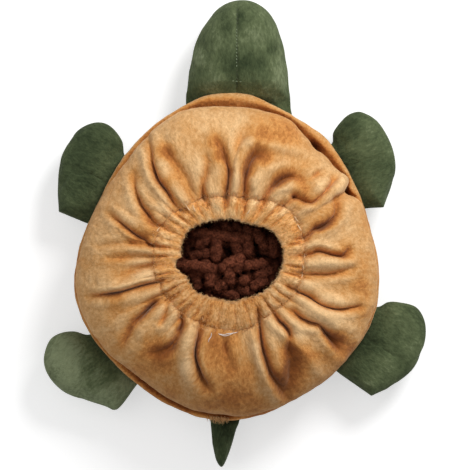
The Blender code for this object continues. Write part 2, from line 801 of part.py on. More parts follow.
def make_tail():
    """The tail: a short blunt cone."""
    pivot = limb_pivot("tail", *TAIL_PLACE_DEGREES)
    outline = [Vector((x * TAIL_WIDTH, y * TAIL_REACH)) for x, y in reversed(TAIL_OUTLINE_SHARES)]
    ring = outline + root_line(pivot, TAIL_PLACE_DEGREES[0], TAIL_ROOT_SHARE * TAIL_WIDTH, 3)
    stuffed_limb("tail", pivot, ring, Vector((0, TAIL_REACH / 2)), TAIL_THICKNESS, 6)


make_shell()
make_lip()
make_padding()
make_mat()
make_casing()
make_elastic()
make_skirt()
make_flippers()
make_head()
make_tail()
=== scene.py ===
"""Looks of the plush turtle treat toy: plush, chenille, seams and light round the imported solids.

Metres, +Z up, the same frame as the solids. The toy lies on its shell with its mouth up, and the
photograph looks straight down. Points marked as picture points are in pixels of the photograph.
"""

import math

import bmesh
import bpy
import numpy as np
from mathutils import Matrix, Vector, kdtree, noise


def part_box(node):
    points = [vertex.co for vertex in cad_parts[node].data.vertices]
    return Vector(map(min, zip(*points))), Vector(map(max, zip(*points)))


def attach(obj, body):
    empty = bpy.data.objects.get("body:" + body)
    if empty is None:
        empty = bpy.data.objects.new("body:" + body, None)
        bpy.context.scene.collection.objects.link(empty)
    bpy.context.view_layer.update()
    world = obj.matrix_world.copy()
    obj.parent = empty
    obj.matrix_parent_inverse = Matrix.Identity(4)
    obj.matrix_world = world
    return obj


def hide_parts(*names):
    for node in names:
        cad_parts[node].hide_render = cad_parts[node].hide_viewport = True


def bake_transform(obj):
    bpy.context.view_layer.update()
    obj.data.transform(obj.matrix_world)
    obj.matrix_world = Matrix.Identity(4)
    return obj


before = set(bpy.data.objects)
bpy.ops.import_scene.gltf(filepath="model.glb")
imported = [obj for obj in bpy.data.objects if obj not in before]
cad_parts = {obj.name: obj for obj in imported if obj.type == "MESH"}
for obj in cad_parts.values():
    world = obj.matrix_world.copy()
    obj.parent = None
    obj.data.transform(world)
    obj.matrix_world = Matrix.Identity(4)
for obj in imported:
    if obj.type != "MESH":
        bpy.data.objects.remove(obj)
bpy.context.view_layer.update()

MM = 0.001
PIXEL = 0.7 * MM
PICTURE_ORIGIN = (228.0, 257.0)
PICTURE_SIZE = 470
CLOTH = 1.8 * MM
FIBRE_POINTS = 7
# Mean radii of the rim's outline and of the shell's upright wall
BODY_RADIUS = 107.1 * MM
WALL_RADIUS = 98.4 * MM
# Light that only the camera sees the floor give off, and light that the white surround throws on the toy
FLOOR_GLOW = 0.50
SURROUND_LIGHT = 0.36
rng = np.random.default_rng(7)


def place(px, py):
    """A picture point as a plan point in metres."""
    return ((px - PICTURE_ORIGIN[0]) * PIXEL, (PICTURE_ORIGIN[1] - py) * PIXEL)


def add_object(name, data):
    """Adds an object to the scene."""
    item = bpy.data.objects.new(name, data)
    bpy.context.scene.collection.objects.link(item)
    return item


class Nodes:
    """Short ways to add and join the shader nodes of a material or of the world."""

    def __init__(self, data):
        self.data = data
        data.use_nodes = True
        self.tree = data.node_tree
        self.shader = self.tree.nodes.get("Principled BSDF")

    def put(self, socket, value):
        """Fills an input with a value, or links an output to it."""
        if isinstance(value, bpy.types.NodeSocket):
            self.tree.links.new(value, socket)
        else:
            socket.default_value = (*value, 1) if socket.type == "RGBA" else value

    def fill(self, node, **values):
        """Fills a node's inputs by their names, with _ for a space."""
        for key, value in values.items():
            self.put(node.inputs[key.replace("_", " ")], value)

    def add(self, kind, **values):
        node = self.tree.nodes.new("ShaderNode" + kind)
        self.fill(node, **values)
        return node

    def math(self, operation, first, second):
        node = self.add("Math")
        node.operation = operation
        self.put(node.inputs[0], first)
        self.put(node.inputs[1], second)
        return node.outputs[0]

    def noise(self, coords, scale, detail=2.0, roughness=0.5, distortion=0.0):
        node = self.add(
            "TexNoise", Vector=coords, Scale=scale, Detail=detail, Roughness=roughness, Distortion=distortion,
        )
        return node.outputs["Fac"]

    def ramp(self, value, stops):
        node = self.add("ValToRGB")
        elements = node.color_ramp.elements
        while len(elements) < len(stops):
            elements.new(0.5)
        for element, (position, colour) in zip(elements, stops):
            element.position = position
            element.color = (*colour, 1)
        self.put(node.inputs[0], value)
        return node.outputs["Color"]

    def span(self, value, low, high, to_low=0.0, to_high=1.0):
        node = self.add("MapRange", Value=value, From_Min=low, From_Max=high, To_Min=to_low, To_Max=to_high)
        return node.outputs[0]

    def mix(self, factor, first, second, blend="MIX"):
        node = self.add("Mix")
        node.data_type = "RGBA"
        node.blend_type = blend
        for index, value in ((0, factor), (6, first), (7, second)):
            self.put(node.inputs[index], value)
        return node.outputs[2]

    def bumps(self, layers):
        """Chains bump nodes: (height output, strength, distance)."""
        normal = None
        for height, strength, distance in layers:
            node = self.add("Bump", Height=height, Strength=strength, Distance=distance)
            if normal is not None:
                self.put(node.inputs["Normal"], normal)
            normal = node.outputs[0]
        self.put(self.shader.inputs["Normal"], normal)

    def attribute(self, name, output="Fac"):
        node = self.add("Attribute")
        node.attribute_name = name
        return node.outputs[output]


# Camera, floor and light


def make_camera():
    """Looks straight down from far off, so that the outline keeps its true proportions."""
    data = bpy.data.cameras.new("camera")
    data.lens = 500
    x, y = place(PICTURE_SIZE / 2, PICTURE_SIZE / 2)
    width = PICTURE_SIZE * PIXEL
    camera = add_object("camera", data)
    camera.location = (x, y, 0.03 + width * data.lens / data.sensor_width)
    bpy.context.scene.camera = camera


def make_stage():
    """A white floor that keeps the shadow, a white surround, and soft lamps from the upper right."""
    mesh = bpy.data.meshes.new("floor")
    builder = bmesh.new()
    bmesh.ops.create_grid(builder, x_segments=4, y_segments=4, size=8)
    builder.to_mesh(mesh)
    builder.free()
    floor = add_object("floor", mesh)
    floor.location.z = -0.0005
    nodes = Nodes(bpy.data.materials.new("white_floor"))
    nodes.fill(nodes.shader, Base_Color=(0.80, 0.80, 0.80), Roughness=0.9, Specular_IOR_Level=0.0)
    seen = nodes.add("LightPath").outputs["Is Camera Ray"]
    glow = nodes.add("Emission", Color=(1, 1, 1), Strength=nodes.math("MULTIPLY", seen, FLOOR_GLOW))
    both = nodes.add("AddShader")
    nodes.put(both.inputs[0], nodes.shader.outputs[0])
    nodes.put(both.inputs[1], glow.outputs[0])
    nodes.put(nodes.tree.nodes["Material Output"].inputs["Surface"], both.outputs[0])
    mesh.materials.append(nodes.data)

    world = Nodes(bpy.data.worlds.new("surround"))
    bpy.context.scene.world = world.data
    seen = world.add("LightPath").outputs
    either = world.math("MAXIMUM", seen["Is Camera Ray"], seen["Is Glossy Ray"])
    every = world.math("MAXIMUM", either, seen["Is Transmission Ray"])
    level = world.span(every, 0.0, 1.0, SURROUND_LIGHT, 1.0)
    world.fill(world.tree.nodes["Background"], Color=(1, 1, 1), Strength=level)

    for name, spot, size, energy in (
        ("key", (0.62, 0.92, 0.95), 0.60, 14.8),
        ("fill", (-0.6, 0.1, 1.3), 1.2, 2.6),
    ):
        lamp = bpy.data.lights.new(name, "AREA")
        lamp.shape = "DISK"
        lamp.size = size
        lamp.energy = energy
        item = add_object(name, lamp)
        item.location = spot
        item.rotation_mode = "QUATERNION"
        item.rotation_quaternion = (Vector(spot) - Vector((0, 0, 0.04))).to_track_quat("Z", "Y")
    bpy.context.scene.view_settings.view_transform = "Standard"


# Materials


def plush_material(name, stops, sheen, sheen_tint, pile=1.0, streaks=1.0):
    """Short-pile plush: brushed streaks and fibres over tones that run light and dark with the nap and with
    each piece's painted light and shade.
    """
    nodes = Nodes(bpy.data.materials.new(name))
    coords = nodes.attribute("nap", "Vector")
    patches = nodes.noise(coords, 40, 3, 0.55, 0.2)
    smears = nodes.noise(coords, 130, 3, 0.6, 0.3)
    fibres = nodes.noise(coords, 1700, 2, 0.7)
    tufts = nodes.noise(coords, 560, 2, 0.6, 0.3)
    tone = nodes.math("ADD", nodes.math("MULTIPLY", patches, 0.5), nodes.math("MULTIPLY", smears, 0.5))
    tone = nodes.span(tone, 0.36, 0.64, -0.16, 0.16)
    tone = nodes.math("ADD", tone, nodes.attribute("tone"))
    tone = nodes.math("ADD", tone, nodes.span(tufts, 0.3, 0.7, -0.10 * streaks, 0.10 * streaks))
    low, high = stops[0][0], stops[-1][0]
    stops = [((position - low) / (high - low), colour) for position, colour in stops]
    colour = nodes.ramp(nodes.span(tone, low, high), stops)
    grain = nodes.math("ADD", nodes.math("MULTIPLY", fibres, 0.5), nodes.math("MULTIPLY", tufts, 0.5))
    grain = nodes.span(grain, 0.3, 0.7, 1 - 0.22 * streaks, 1 + 0.20 * streaks)
    # Painted shade: a darker, greyer colour where a piece stores that less light falls on it
    painted_shade = nodes.mix(nodes.attribute("painted_shade"), (1, 1, 1), (0, 0.08, 0.34))
    shade = nodes.mix(1.0, nodes.mix(1.0, colour, grain, "MULTIPLY"), painted_shade, "MULTIPLY")
    nodes.fill(
        nodes.shader, Base_Color=shade, Roughness=0.9, Specular_IOR_Level=0.12, Sheen_Weight=sheen,
        Sheen_Roughness=0.45, Sheen_Tint=sheen_tint,
    )
    nodes.bumps([
        (smears, 0.35 * pile, 0.0016),
        (tufts, 0.6 * pile, 0.0008),
        (fibres, 0.55 * pile, 0.0003),
    ])
    return nodes.data


def thread_material(name, colour, roughness=0.6):
    """Sewing thread with a fine twist."""
    nodes = Nodes(bpy.data.materials.new(name))
    coords = nodes.add("TexCoord").outputs["Object"]
    twist = nodes.noise(coords, 2600, 2, 0.6)
    tone = nodes.span(twist, 0.3, 0.7, 0.75, 1.15)
    nodes.fill(nodes.shader, Base_Color=nodes.mix(1.0, colour, tone, "MULTIPLY"), Roughness=roughness)
    nodes.bumps([(twist, 0.4, 0.0002)])
    return nodes.data


def chenille_material():
    """Dark brown chenille yarn: each finger a little different, redder where its fluff is lit."""
    nodes = Nodes(bpy.data.materials.new("brown_chenille_fluff"))
    coords = nodes.add("TexCoord").outputs["Object"]
    shade = nodes.attribute("tone")
    fluff = nodes.noise(coords, 760, 3, 0.7, 0.4)
    clumps = nodes.noise(coords, 300, 3, 0.6, 0.6)
    tone = nodes.math("ADD", nodes.span(clumps, 0.3, 0.7, 0.10, 0.40), nodes.math("MULTIPLY", shade, 0.55))
    tone = nodes.math("ADD", nodes.span(fluff, 0.36, 0.64, -0.30, 0.30), tone)
    colour = nodes.ramp(tone, [
        (0.0, (0.036, 0.0098, 0.0052)),
        (0.5, (0.165, 0.0470, 0.0240)),
        (1.0, (0.370, 0.110, 0.055)),
    ])
    nodes.fill(
        nodes.shader, Base_Color=colour, Roughness=0.95, Specular_IOR_Level=0.05, Sheen_Weight=0.25,
        Sheen_Roughness=0.6, Sheen_Tint=(0.36, 0.12, 0.07),
    )
    nodes.bumps([(clumps, 1.0, 0.0040), (fluff, 1.0, 0.0030)])
    return nodes.data


GREEN = plush_material(
    "green_plush",
    [(0.0, (0.020, 0.031, 0.013)), (0.35, (0.056, 0.075, 0.033)), (0.65, (0.100, 0.126, 0.058)),
     (1.0, (0.215, 0.250, 0.138))],
    0.30, (0.45, 0.52, 0.36),
)
TAN = plush_material(
    "tan_plush",
    [(-1.0, (0.060, 0.015, 0.005)), (-0.35, (0.215, 0.064, 0.014)), (0.0, (0.320, 0.102, 0.022)),
     (0.30, (0.520, 0.205, 0.050)), (0.45, (0.625, 0.282, 0.079)), (0.62, (0.650, 0.340, 0.124)),
     (1.0, (0.800, 0.510, 0.250))],
    0.30, (0.95, 0.80, 0.60),
)
# A brighter, more golden copy of the tan plush for the casing and its fibres: partly the gathered pile's
# look, partly painted light
TAN_GATHERED_AND_LIT = plush_material(
    "tan_plush_gathered_and_lit",
    [(-1.0, (0.070, 0.017, 0.005)), (-0.35, (0.240, 0.072, 0.014)), (0.0, (0.360, 0.115, 0.023)),
     (0.30, (0.620, 0.245, 0.058)), (0.45, (0.740, 0.340, 0.098)), (0.62, (0.780, 0.410, 0.150)),
     (1.0, (0.930, 0.620, 0.310))],
    0.22, (0.95, 0.80, 0.60), 1.3, 1.7,
)
CHENILLE = chenille_material()
TAN_THREAD = thread_material("tan_thread", (0.88, 0.60, 0.33))
GREEN_THREAD = thread_material("green_thread", (0.055, 0.066, 0.036), 0.8)
PALE_THREAD = thread_material("pale_green_thread", (0.205, 0.255, 0.145), 0.8)
WHITE_THREAD = thread_material("white_thread", (0.92, 0.91, 0.88), 0.5)
BLACK_THREAD = thread_material("black_thread", (0.012, 0.011, 0.010), 0.35)
BACKING = thread_material("brown_backing", (0.035, 0.012, 0.007), 0.95)


# Shared shapes


def link_mesh(name, points, faces, material, body="shell_and_belly"):
    """A smooth piece from points and faces, riding on a body if one is named."""
    mesh = bpy.data.meshes.new(name)
    mesh.from_pydata([tuple(p) for p in points], [], faces)
    mesh.update()
    mesh.materials.append(material)
    mesh.shade_smooth()
    item = add_object(name, mesh)
    if body:
        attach(item, body)
    return item


def mesh_points(item):
    """The points of a piece's mesh."""
    return np.array([corner.co[:] for corner in item.data.vertices])


def set_tone(item, values, name="tone"):
    """Stores a light or dark share at each point for the material."""
    attribute = item.data.attributes.new(name, "FLOAT", "POINT")
    attribute.data.foreach_set("value", np.asarray(values, np.float32))


def set_nap(item, places):
    """Stores the places that the pile's grain is drawn by, drawn out along the brushing."""
    attribute = item.data.attributes.new("nap", "FLOAT_VECTOR", "POINT")
    attribute.data.foreach_set("vector", np.asarray(places, np.float32).ravel())


def solidify(item):
    """Gives a sheet its cloth thickness, inward."""
    modifier = item.modifiers.new("Cloth", "SOLIDIFY")
    modifier.thickness = CLOTH
    modifier.offset = -1.0


def ring_faces(steps, rows, wrap_rows=False):
    """Quads of a grid that closes round its steps; points run row by row within a step."""
    faces = []
    last = rows if wrap_rows else rows - 1
    for step in range(steps):
        here = step * rows
        there = ((step + 1) % steps) * rows
        for row in range(last):
            after = (row + 1) % rows
            faces.append((here + row, there + row, there + after, here + after))
    return faces


def wave(angles, shares):
    """An outline's swell at each angle."""
    swell = np.ones_like(angles)
    for order, (cosine, sine) in enumerate(shares, start=1):
        swell += cosine * np.cos(order * angles) + sine * np.sin(order * angles)
    return swell


def body_radius(angles):
    """The rim's outline."""
    shares = (
        (0.0014, -0.0187), (-0.0346, 0.0062), (-0.0047, -0.0266), (0.0140, 0.0005), (-0.0067, -0.0104),
    )
    return BODY_RADIUS * wave(angles, shares)


def body_swell(angles):
    """The rim outline's swell at each angle."""
    return body_radius(angles) / BODY_RADIUS


def smooth(share):
    """Eases shares from 0 to 1."""
    share = np.clip(share, 0, 1)
    return share * share * (3 - 2 * share)


def bell(value, width):
    """A bell curve."""
    return np.exp(-((value / width) ** 2))


def full_turn(count):
    """Evenly spaced angles all the way round."""
    return np.linspace(0, 2 * math.pi, count, endpoint=False)


def degrees_from(angles, middle):
    """Each angle's distance from a middle one in degrees, from -180 to 180."""
    return (np.degrees(angles) - middle + 180) % 360 - 180


def polar_grid(radius, angles, height, middle=(0.0, 0.0)):
    """Points row by row at each angle, at a radius about a middle and at a height."""
    points = np.zeros((*radius.shape, 3))
    points[..., 0] = middle[0] + radius * np.cos(angles)[:, None]
    points[..., 1] = middle[1] + radius * np.sin(angles)[:, None]
    points[..., 2] = height
    return points


def add_patches(values, plan, patches):
    """Adds soft lighter and darker spots, given as picture points, to a value at each plan point."""
    for px, py, radius, amount in patches:
        x, y = place(px, py)
        values += amount * np.exp(-(np.hypot(plan[:, 0] - x, plan[:, 1] - y) / (radius * PIXEL)) ** 2)


def round_nap(radius, angles, rows, run):
    """Pattern coordinates of a cloth whose pile runs round the mouth and along each row."""
    across, up = np.repeat(radius * np.cos(angles), rows), np.repeat(radius * np.sin(angles), rows)
    return np.stack([across, up, run], 1)


def lower_share(plan):
    """How far each plan point lies in the shaded lower side of the picture."""
    return smooth((place(0, 320)[1] - plan[:, 1]) / (60 * MM))


def plan_tree(points):
    """Lookup of points by their place in plan."""
    tree = kdtree.KDTree(len(points))
    for index, spot in enumerate(points):
        tree.insert((spot[0], spot[1], 0), index)
    tree.balance()
    return tree


def noise_field(points, scale, seed=0.0, octaves=1):
    """Smooth noise from -1 to 1 at each point, with features of about 1/scale metres."""
    points = np.asarray(points, float).reshape(-1, 3) * scale + seed
    total = np.zeros(len(points))
    gain = 1.0
    for octave in range(octaves):
        total += gain * np.array([noise.noise(Vector(p)) for p in points * 2 ** octave])
        gain *= 0.5
    return total


def curve_through(points, per_span, closed=False, corners=()):
    """A smooth line through points, straight-ended at its corners."""
    points = np.asarray(points, float)
    count = len(points)
    spans = count if closed else count - 1
    result = []
    for index in range(spans):
        p1, p2 = points[index], points[(index + 1) % count]
        p0 = points[index - 1] if closed or index > 0 else 2 * p1 - p2
        p3 = points[(index + 2) % count] if closed or index + 2 < count else 2 * p2 - p1
        if index in corners:
            p0 = 2 * p1 - p2
        if (index + 1) % count in corners:
            p3 = 2 * p2 - p1
        for step in range(per_span):
            t = step / per_span
            result.append(0.5 * (
                2 * p1 + (p2 - p0) * t + (2 * p0 - 5 * p1 + 4 * p2 - p3) * t ** 2
                + (3 * p1 - p0 - 3 * p2 + p3) * t ** 3
            ))
    if not closed:
        result.append(points[-1])
    return np.array(result)


def resample(line, count, closed=False):
    """Evenly spaced points along a line."""
    line = np.asarray(line, float)
    if closed:
        line = np.vstack([line, line[:1]])
    lengths = np.concatenate([[0], np.cumsum(np.linalg.norm(np.diff(line, axis=0), axis=1))])
    stops = np.linspace(0, lengths[-1], count + 1)[:-1] if closed else np.linspace(0, lengths[-1], count)
    return np.stack([np.interp(stops, lengths, line[:, axis]) for axis in range(line.shape[1])], axis=1)


def tube_faces(first, count, sides):
    """Faces of a closed tube whose rings of points follow one another."""
    faces = []
    for a in range(first, first + (count - 1) * sides, sides):
        for corner in range(sides):
            after = (corner + 1) % sides
            faces.append((a + corner, a + after, a + after + sides, a + corner + sides))
    faces.append(tuple(first + corner for corner in reversed(range(sides))))
    faces.append(tuple(first + (count - 1) * sides + corner for corner in range(sides)))
    return faces


def ring_points(middle, side, top, radius, sides):
    """A ring of points about a middle, in the plane of two directions."""
    turns = [2 * math.pi * corner / sides for corner in range(sides)]
    return [middle + radius * (math.cos(turn) * side + math.sin(turn) * top) for turn in turns]


def tubes(name, lines, radius, material, body):
    """Thin closed six-sided tubes along lines, all in one piece, such as the stitches of a seam."""
    sides = 6
    points, faces = [], []
    for line in lines:
        line = np.asarray(line, float)
        count = len(line)
        along = np.gradient(line, axis=0)
        along /= np.linalg.norm(along, axis=1)[:, None] + 1e-12
        up = np.array([0.0, 0.0, 1.0])
        if abs(along[0] @ up) > 0.9:
            up = np.array([1.0, 0.0, 0.0])
        base = len(points)
        for index in range(count):
            side = np.cross(along[index], up)
            side /= np.linalg.norm(side) + 1e-12
            top = np.cross(side, along[index])
            share = min(index, count - 1 - index) / max(count - 1, 1)
            girth = radius * min(1.0, 0.55 + 2.5 * share)
            points += ring_points(line[index], side, top, girth, sides)
        faces += tube_faces(base, count, sides)
    return link_mesh(name, points, faces, material, body)


# Belly cloth, casing and lip

MOUTH_MIDDLE = np.array((1.4 * MM, -1.4 * MM))
SKIRT_FOOT = 42.2 * MM
SKIRT_CREST = 75.5 * MM
LIP_FOOT = 28.9 * MM
LIP_HEIGHT = 13.0 * MM
LIP_WIDTH = 15.0 * MM
LIP_DIP = 6.0 * MM
CASING_LEVEL = 73.3 * MM
CASING_HALF_HEIGHT = 3.6 * MM
FOLD_REACH = 9 * MM
SKIRT_SPAN = 54.6 * MM
# Belly cloth from the casing over its crest to the rim, as shares of its span and its rise
SKIRT_PROFILE = (
    (0, .982), (.05, .995), (.20, 1), (.48, .93), (.74, .745), (.93, .47), (1, .2), (.90, 0),
)
# How far folds sink and rise where they cross the casing's seam
SEAM_SINK = -3.2 * MM
SEAM_LIFT = 1.5 * MM
# Where the casing's first gather starts, in degrees
GATHER_START = 2.9
# Mean radii at which the pile's pattern runs round the belly cloth and the casing
SKIRT_NAP = 75 * MM
CASING_NAP = 45 * MM

# The mouth's edge as picture points
MOUTH_EDGE = (
    (282.4, 256), (282.1, 249.3), (277.9, 239.3), (270.7, 230.7), (257.9, 226.4), (243.6, 222.9),
    (229.3, 219.3), (207.9, 222.1), (193.6, 227.9), (186.4, 235), (181.9, 247.9), (181.8, 257),
    (177.4, 260), (176.4, 265.5), (180.5, 271), (186.4, 275), (190.7, 282.1), (196.4, 290.7),
    (207.9, 295), (219.3, 297.9), (233.6, 300.4), (242.1, 297.9), (253.6, 295), (265, 289.3),
    (273.6, 280.7), (279.3, 270.7), (282.1, 262.1),
)
# The casing's outer seam as picture points
CASING_SEAM = (
    (303.5, 250), (303, 238), (300, 227), (295, 217), (287, 208), (277, 202.5), (265, 199),
    (252, 198.5), (240, 196.5), (226, 195), (212, 197.5), (203, 197.5), (192, 202), (180, 208.5),
    (170, 214), (163, 222), (157.5, 231), (154.5, 243), (153, 254), (153.5, 266), (156, 278),
    (161, 289), (168, 299), (177, 309), (187, 317), (199, 323.5), (212, 327.5), (228, 329.5),
    (243, 328.5), (257, 323), (270, 313.5), (281, 305), (291, 297), (298.5, 287.5), (302, 275),
    (303.5, 262),
)
# How far the rim stands out from its plain outline, in mm, by degrees round the body
RIM_TRIM = (
    (0, 0.4), (12, 0.4), (25, 0.6), (40, 1.2), (50, 1.6), (58, 0.3), (64, -0.6), (74, 0.6), (82, 2.4),
    (90, 2.9), (97, 2.0), (104, 0.2), (112, -1.4), (122, -1.2), (135, 0.0), (150, 0.0), (163, -0.8),
    (172, -1.3), (182, -0.4), (192, 1.2), (202, 1.8), (212, 1.2), (224, 1.0), (238, 0.8), (252, 1.0),
    (264, 1.9), (278, 1.6), (292, 1.2), (306, 1.6), (318, 1.3), (330, 0.8), (342, 1.5), (352, 1.0),
)
# Width of the lip seen beyond the belly cloth, in mm, by degrees round the body
LIP_BAND = (
    (0, 1.6), (17, 1.2), (22.3, 1.0), (25, 3.2), (27.4, 8.0), (30, 10.2), (31.3, 5.5), (33.5, 3.3),
    (36.9, 6.2), (40.3, 8.0), (44.3, 8.0), (48, 8.9), (50.5, 11.0), (52.5, 11.2), (54.6, 9.4),
    (58.2, 7.6), (64.8, 4.2), (70, 4.8), (75, 6.8), (82, 9.2), (90, 10.2), (96, 8.6), (103, 5.0),
    (109, 2.8), (117, 2.8), (127, 3.5), (138, 3.3), (148, 1.6), (165, 1.2), (185, 1.4), (200, 2.0),
    (212, 2.2), (223, 3.0), (233, 5.0), (243, 4.5), (253, 4.3), (266, 5.0), (276, 2.4), (286, 1.3),
    (310, 1.1), (340, 1.3),
)
# Width of the casing's gathers, in degrees round the mouth
GATHER_PITCH = (
    (0, 9.5), (45, 12.0), (90, 12.5), (135, 9.5), (165, 6.5), (200, 7.0), (235, 11.0), (270, 12.5),
    (315, 10.5), (360, 9.5),
)

# Dark folds of the belly cloth: picture points with a depth in mm, then the fold's half width in mm
# and its lean
FOLDS = (
    (((149, 138, 1.5), (152, 151, 3), (155, 165, 5), (160, 179, 6), (168, 190, 5), (175, 202, 4),
      (179, 207, 3)), 2.6, 0.7),
    (((135, 175, 1.5), (137, 190, 3.5), (142, 203, 5), (148, 211, 5.5), (153, 217, 4.5),
      (158, 222, 3)), 2.4, 0.6),
    (((111, 213, 1.5), (118, 218, 4), (128, 226, 5), (137, 233, 5), (147, 238, 4.5),
      (155, 244, 3)), 2.2, 0.7),
    (((118, 229, 1), (132, 241, 2), (140, 242, 1.5)), 2.0, 0.2),
    (((165, 140, 1.2), (167, 151, 2.4), (175, 163, 2.6), (186, 178, 2.2), (190, 187, 2.2),
      (195, 195, 2.5)), 3.6, 0.1),
    (((207, 158, 1.5), (206, 172, 2.8), (203, 183, 3.4), (203, 196, 3.5)), 2.2, -0.3),
    (((218, 140, 1.5), (224, 155, 3.5), (227, 167, 5), (227, 181, 6), (226, 194, 5)), 2.5, -0.6),
    (((245, 129, 1), (241, 140, 2), (235, 158, 2.4), (233, 172, 1.8)), 2.6, 0.3),
    (((257, 149, 2), (250, 163, 4), (246, 178, 5), (245, 195, 4.5)), 2.6, 0.5),
    (((245, 167, 1), (248, 160, 2.4), (257, 155, 2.6), (270, 152, 1)), 4.0, 0.0),
    (((265, 196, 3.5), (270, 188, 4.5), (278, 181, 4.5), (290, 176, 4), (301, 178, 2)), 2.8, 0.4),
    (((311, 178, 1.2), (316, 174, 2.6), (320, 172, 1)), 1.4, 0.3),
    (((294, 196, 3.5), (301, 199, 3.4), (311, 202, 4.6), (319, 196, 5), (327, 187, 5),
      (332, 181, 3)), 2.2, 0.5),
    (((282, 207, 2.5), (289, 202, 3), (295, 195, 2.5)), 1.8, 0.2),
    (((304, 237, 4), (313, 229, 5), (321, 226, 6), (332, 218, 5), (336, 209, 3.5), (333, 198, 2)), 2.6, 0.4),
    (((303, 256, 2), (311, 254, 3), (319, 252, 5), (332, 256, 5.5), (343, 257, 5), (348, 251, 2)), 2.3, -0.5),
    (((304, 273, 3), (315, 273, 4), (327, 273, 3.8), (338, 271, 3), (349, 268, 1.5)), 2.4, 0.4),
    (((297, 289, 3), (309, 294, 5), (320, 301, 6.5), (331, 305, 6.5), (343, 307, 5),
      (359, 306, 2)), 2.2, 0.8),
    (((294, 310, 3), (302, 316, 5.5), (311, 320, 6), (320, 323, 5), (327, 332, 4.5), (335, 343, 3.5),
      (339, 350, 1.5)), 2.5, 0.6),
    (((273, 312, 3), (279, 319, 5), (286, 325, 6), (290, 332, 5.5), (290, 339, 3.5),
      (289, 349, 1.5)), 2.4, 0.5),
    (((258, 309, 3.5), (260, 323, 5), (262, 335, 6), (264, 347, 6), (268, 360, 5.5), (272, 372, 4.5),
      (278, 382, 3.5), (285, 393, 1.5)), 2.7, 0.6),
    (((199, 324, 3), (197, 333, 4.5), (194, 344, 6), (193, 355, 6.5), (196, 367, 6), (201, 377, 4.5),
      (208, 387, 2)), 2.8, -0.8),
    (((185, 317, 3), (182, 325, 4), (179, 334, 5), (173, 345, 4.5), (165, 350, 3),
      (153, 353, 1.2)), 2.8, 0.3),
    (((170, 303, 2.5), (167, 311, 3.4), (162, 322, 1.5)), 1.6, 0.2),
    (((156, 302, 2), (148, 311, 3), (139, 322, 1.2)), 1.7, 0.2),
    (((181, 313, 2.5), (184, 322, 3.2), (180, 330, 1.5)), 1.5, 0.1),
    (((226, 338, 0.8), (225, 345, 1.2), (227, 352, 0.6)), 1.2, 0.0),
    (((164, 298, 3), (153, 305, 4), (145, 313, 4), (138, 319, 4), (132, 327, 3.8), (125, 341, 3),
      (120, 349, 1.2)), 3.0, 0.4),
    (((92, 296, 1.8), (104, 296, 4.5), (120, 294, 6), (131, 291, 6.5), (143, 287, 5.5),
      (158, 283, 4.5), (165, 280, 3)), 2.2, -0.8),
    (((122, 278, 1), (134, 271, 2.2), (148, 266, 3), (155, 263, 3)), 2.4, 0.2),
    (((100, 246, 0.8), (125, 243, 1.6), (150, 246, 2.2)), 2.0, 0.1),
    (((110, 258, 0.8), (135, 257, 1.8), (155, 256, 2.6)), 1.8, 0.1),
    (((289, 349, 2), (292, 362, 3), (291, 378, 3), (288, 392, 1.5)), 4.2, 0.0),
    (((223, 336, 1), (226, 352, 1.8), (231, 368, 1.4)), 3.2, 0.0),
    (((327, 332, 2), (338, 338, 3), (349, 346, 1.5)), 3.6, 0.2),
)
# Raised folds of the belly cloth, in the same form with a height
RIDGES = (
    (((251, 145, 1.5), (274, 148, 2.6), (295, 153, 2.4), (309, 160, 2), (319, 167, 1)), 3.4),
    (((253, 187, 2), (257, 179, 2.6), (269, 169, 2.4), (284, 165, 1.4)), 3.2),
    (((268, 198, 2), (277, 191, 2.2), (286, 188, 2), (294, 183, 1)), 2.4),
    (((300, 215, 2.5), (311, 205, 3.2), (323, 195, 3.4), (334, 187, 3.2), (343, 180, 2.6),
      (350, 184, 1.5)), 3.6),
    (((314, 184, 1.5), (318, 190, 2.6), (323, 183, 1.5)), 4.0),
    (((306, 264, 1.5), (325, 262, 2.4), (345, 262, 2)), 3.4),
    (((236, 180, 1.2), (235, 165, 2), (240, 150, 1.6)), 3.4),
    (((166, 200, 1.4), (158, 190, 2), (150, 175, 2), (146, 155, 1.4)), 3.4),
    (((270, 312, 1.5), (281, 330, 2.4), (304, 352, 2.4), (318, 372, 1.6)), 4.4),
    (((303, 302, 1.5), (318, 313, 2.6), (338, 322, 2.2), (352, 326, 1.2)), 4.6),
    (((252, 318, 1.4), (256, 345, 2.0), (262, 370, 2.0), (272, 395, 1.4)), 3.4),
    (((188, 320, 1.4), (187, 345, 2.2), (186, 370, 2.2), (190, 392, 1.4)), 4.6),
    (((172, 312, 1.4), (160, 325, 2.0), (146, 334, 1.4)), 4.2),
    (((104, 281, 1.0), (124, 284, 1.8), (146, 277, 1.6)), 4.4),
)
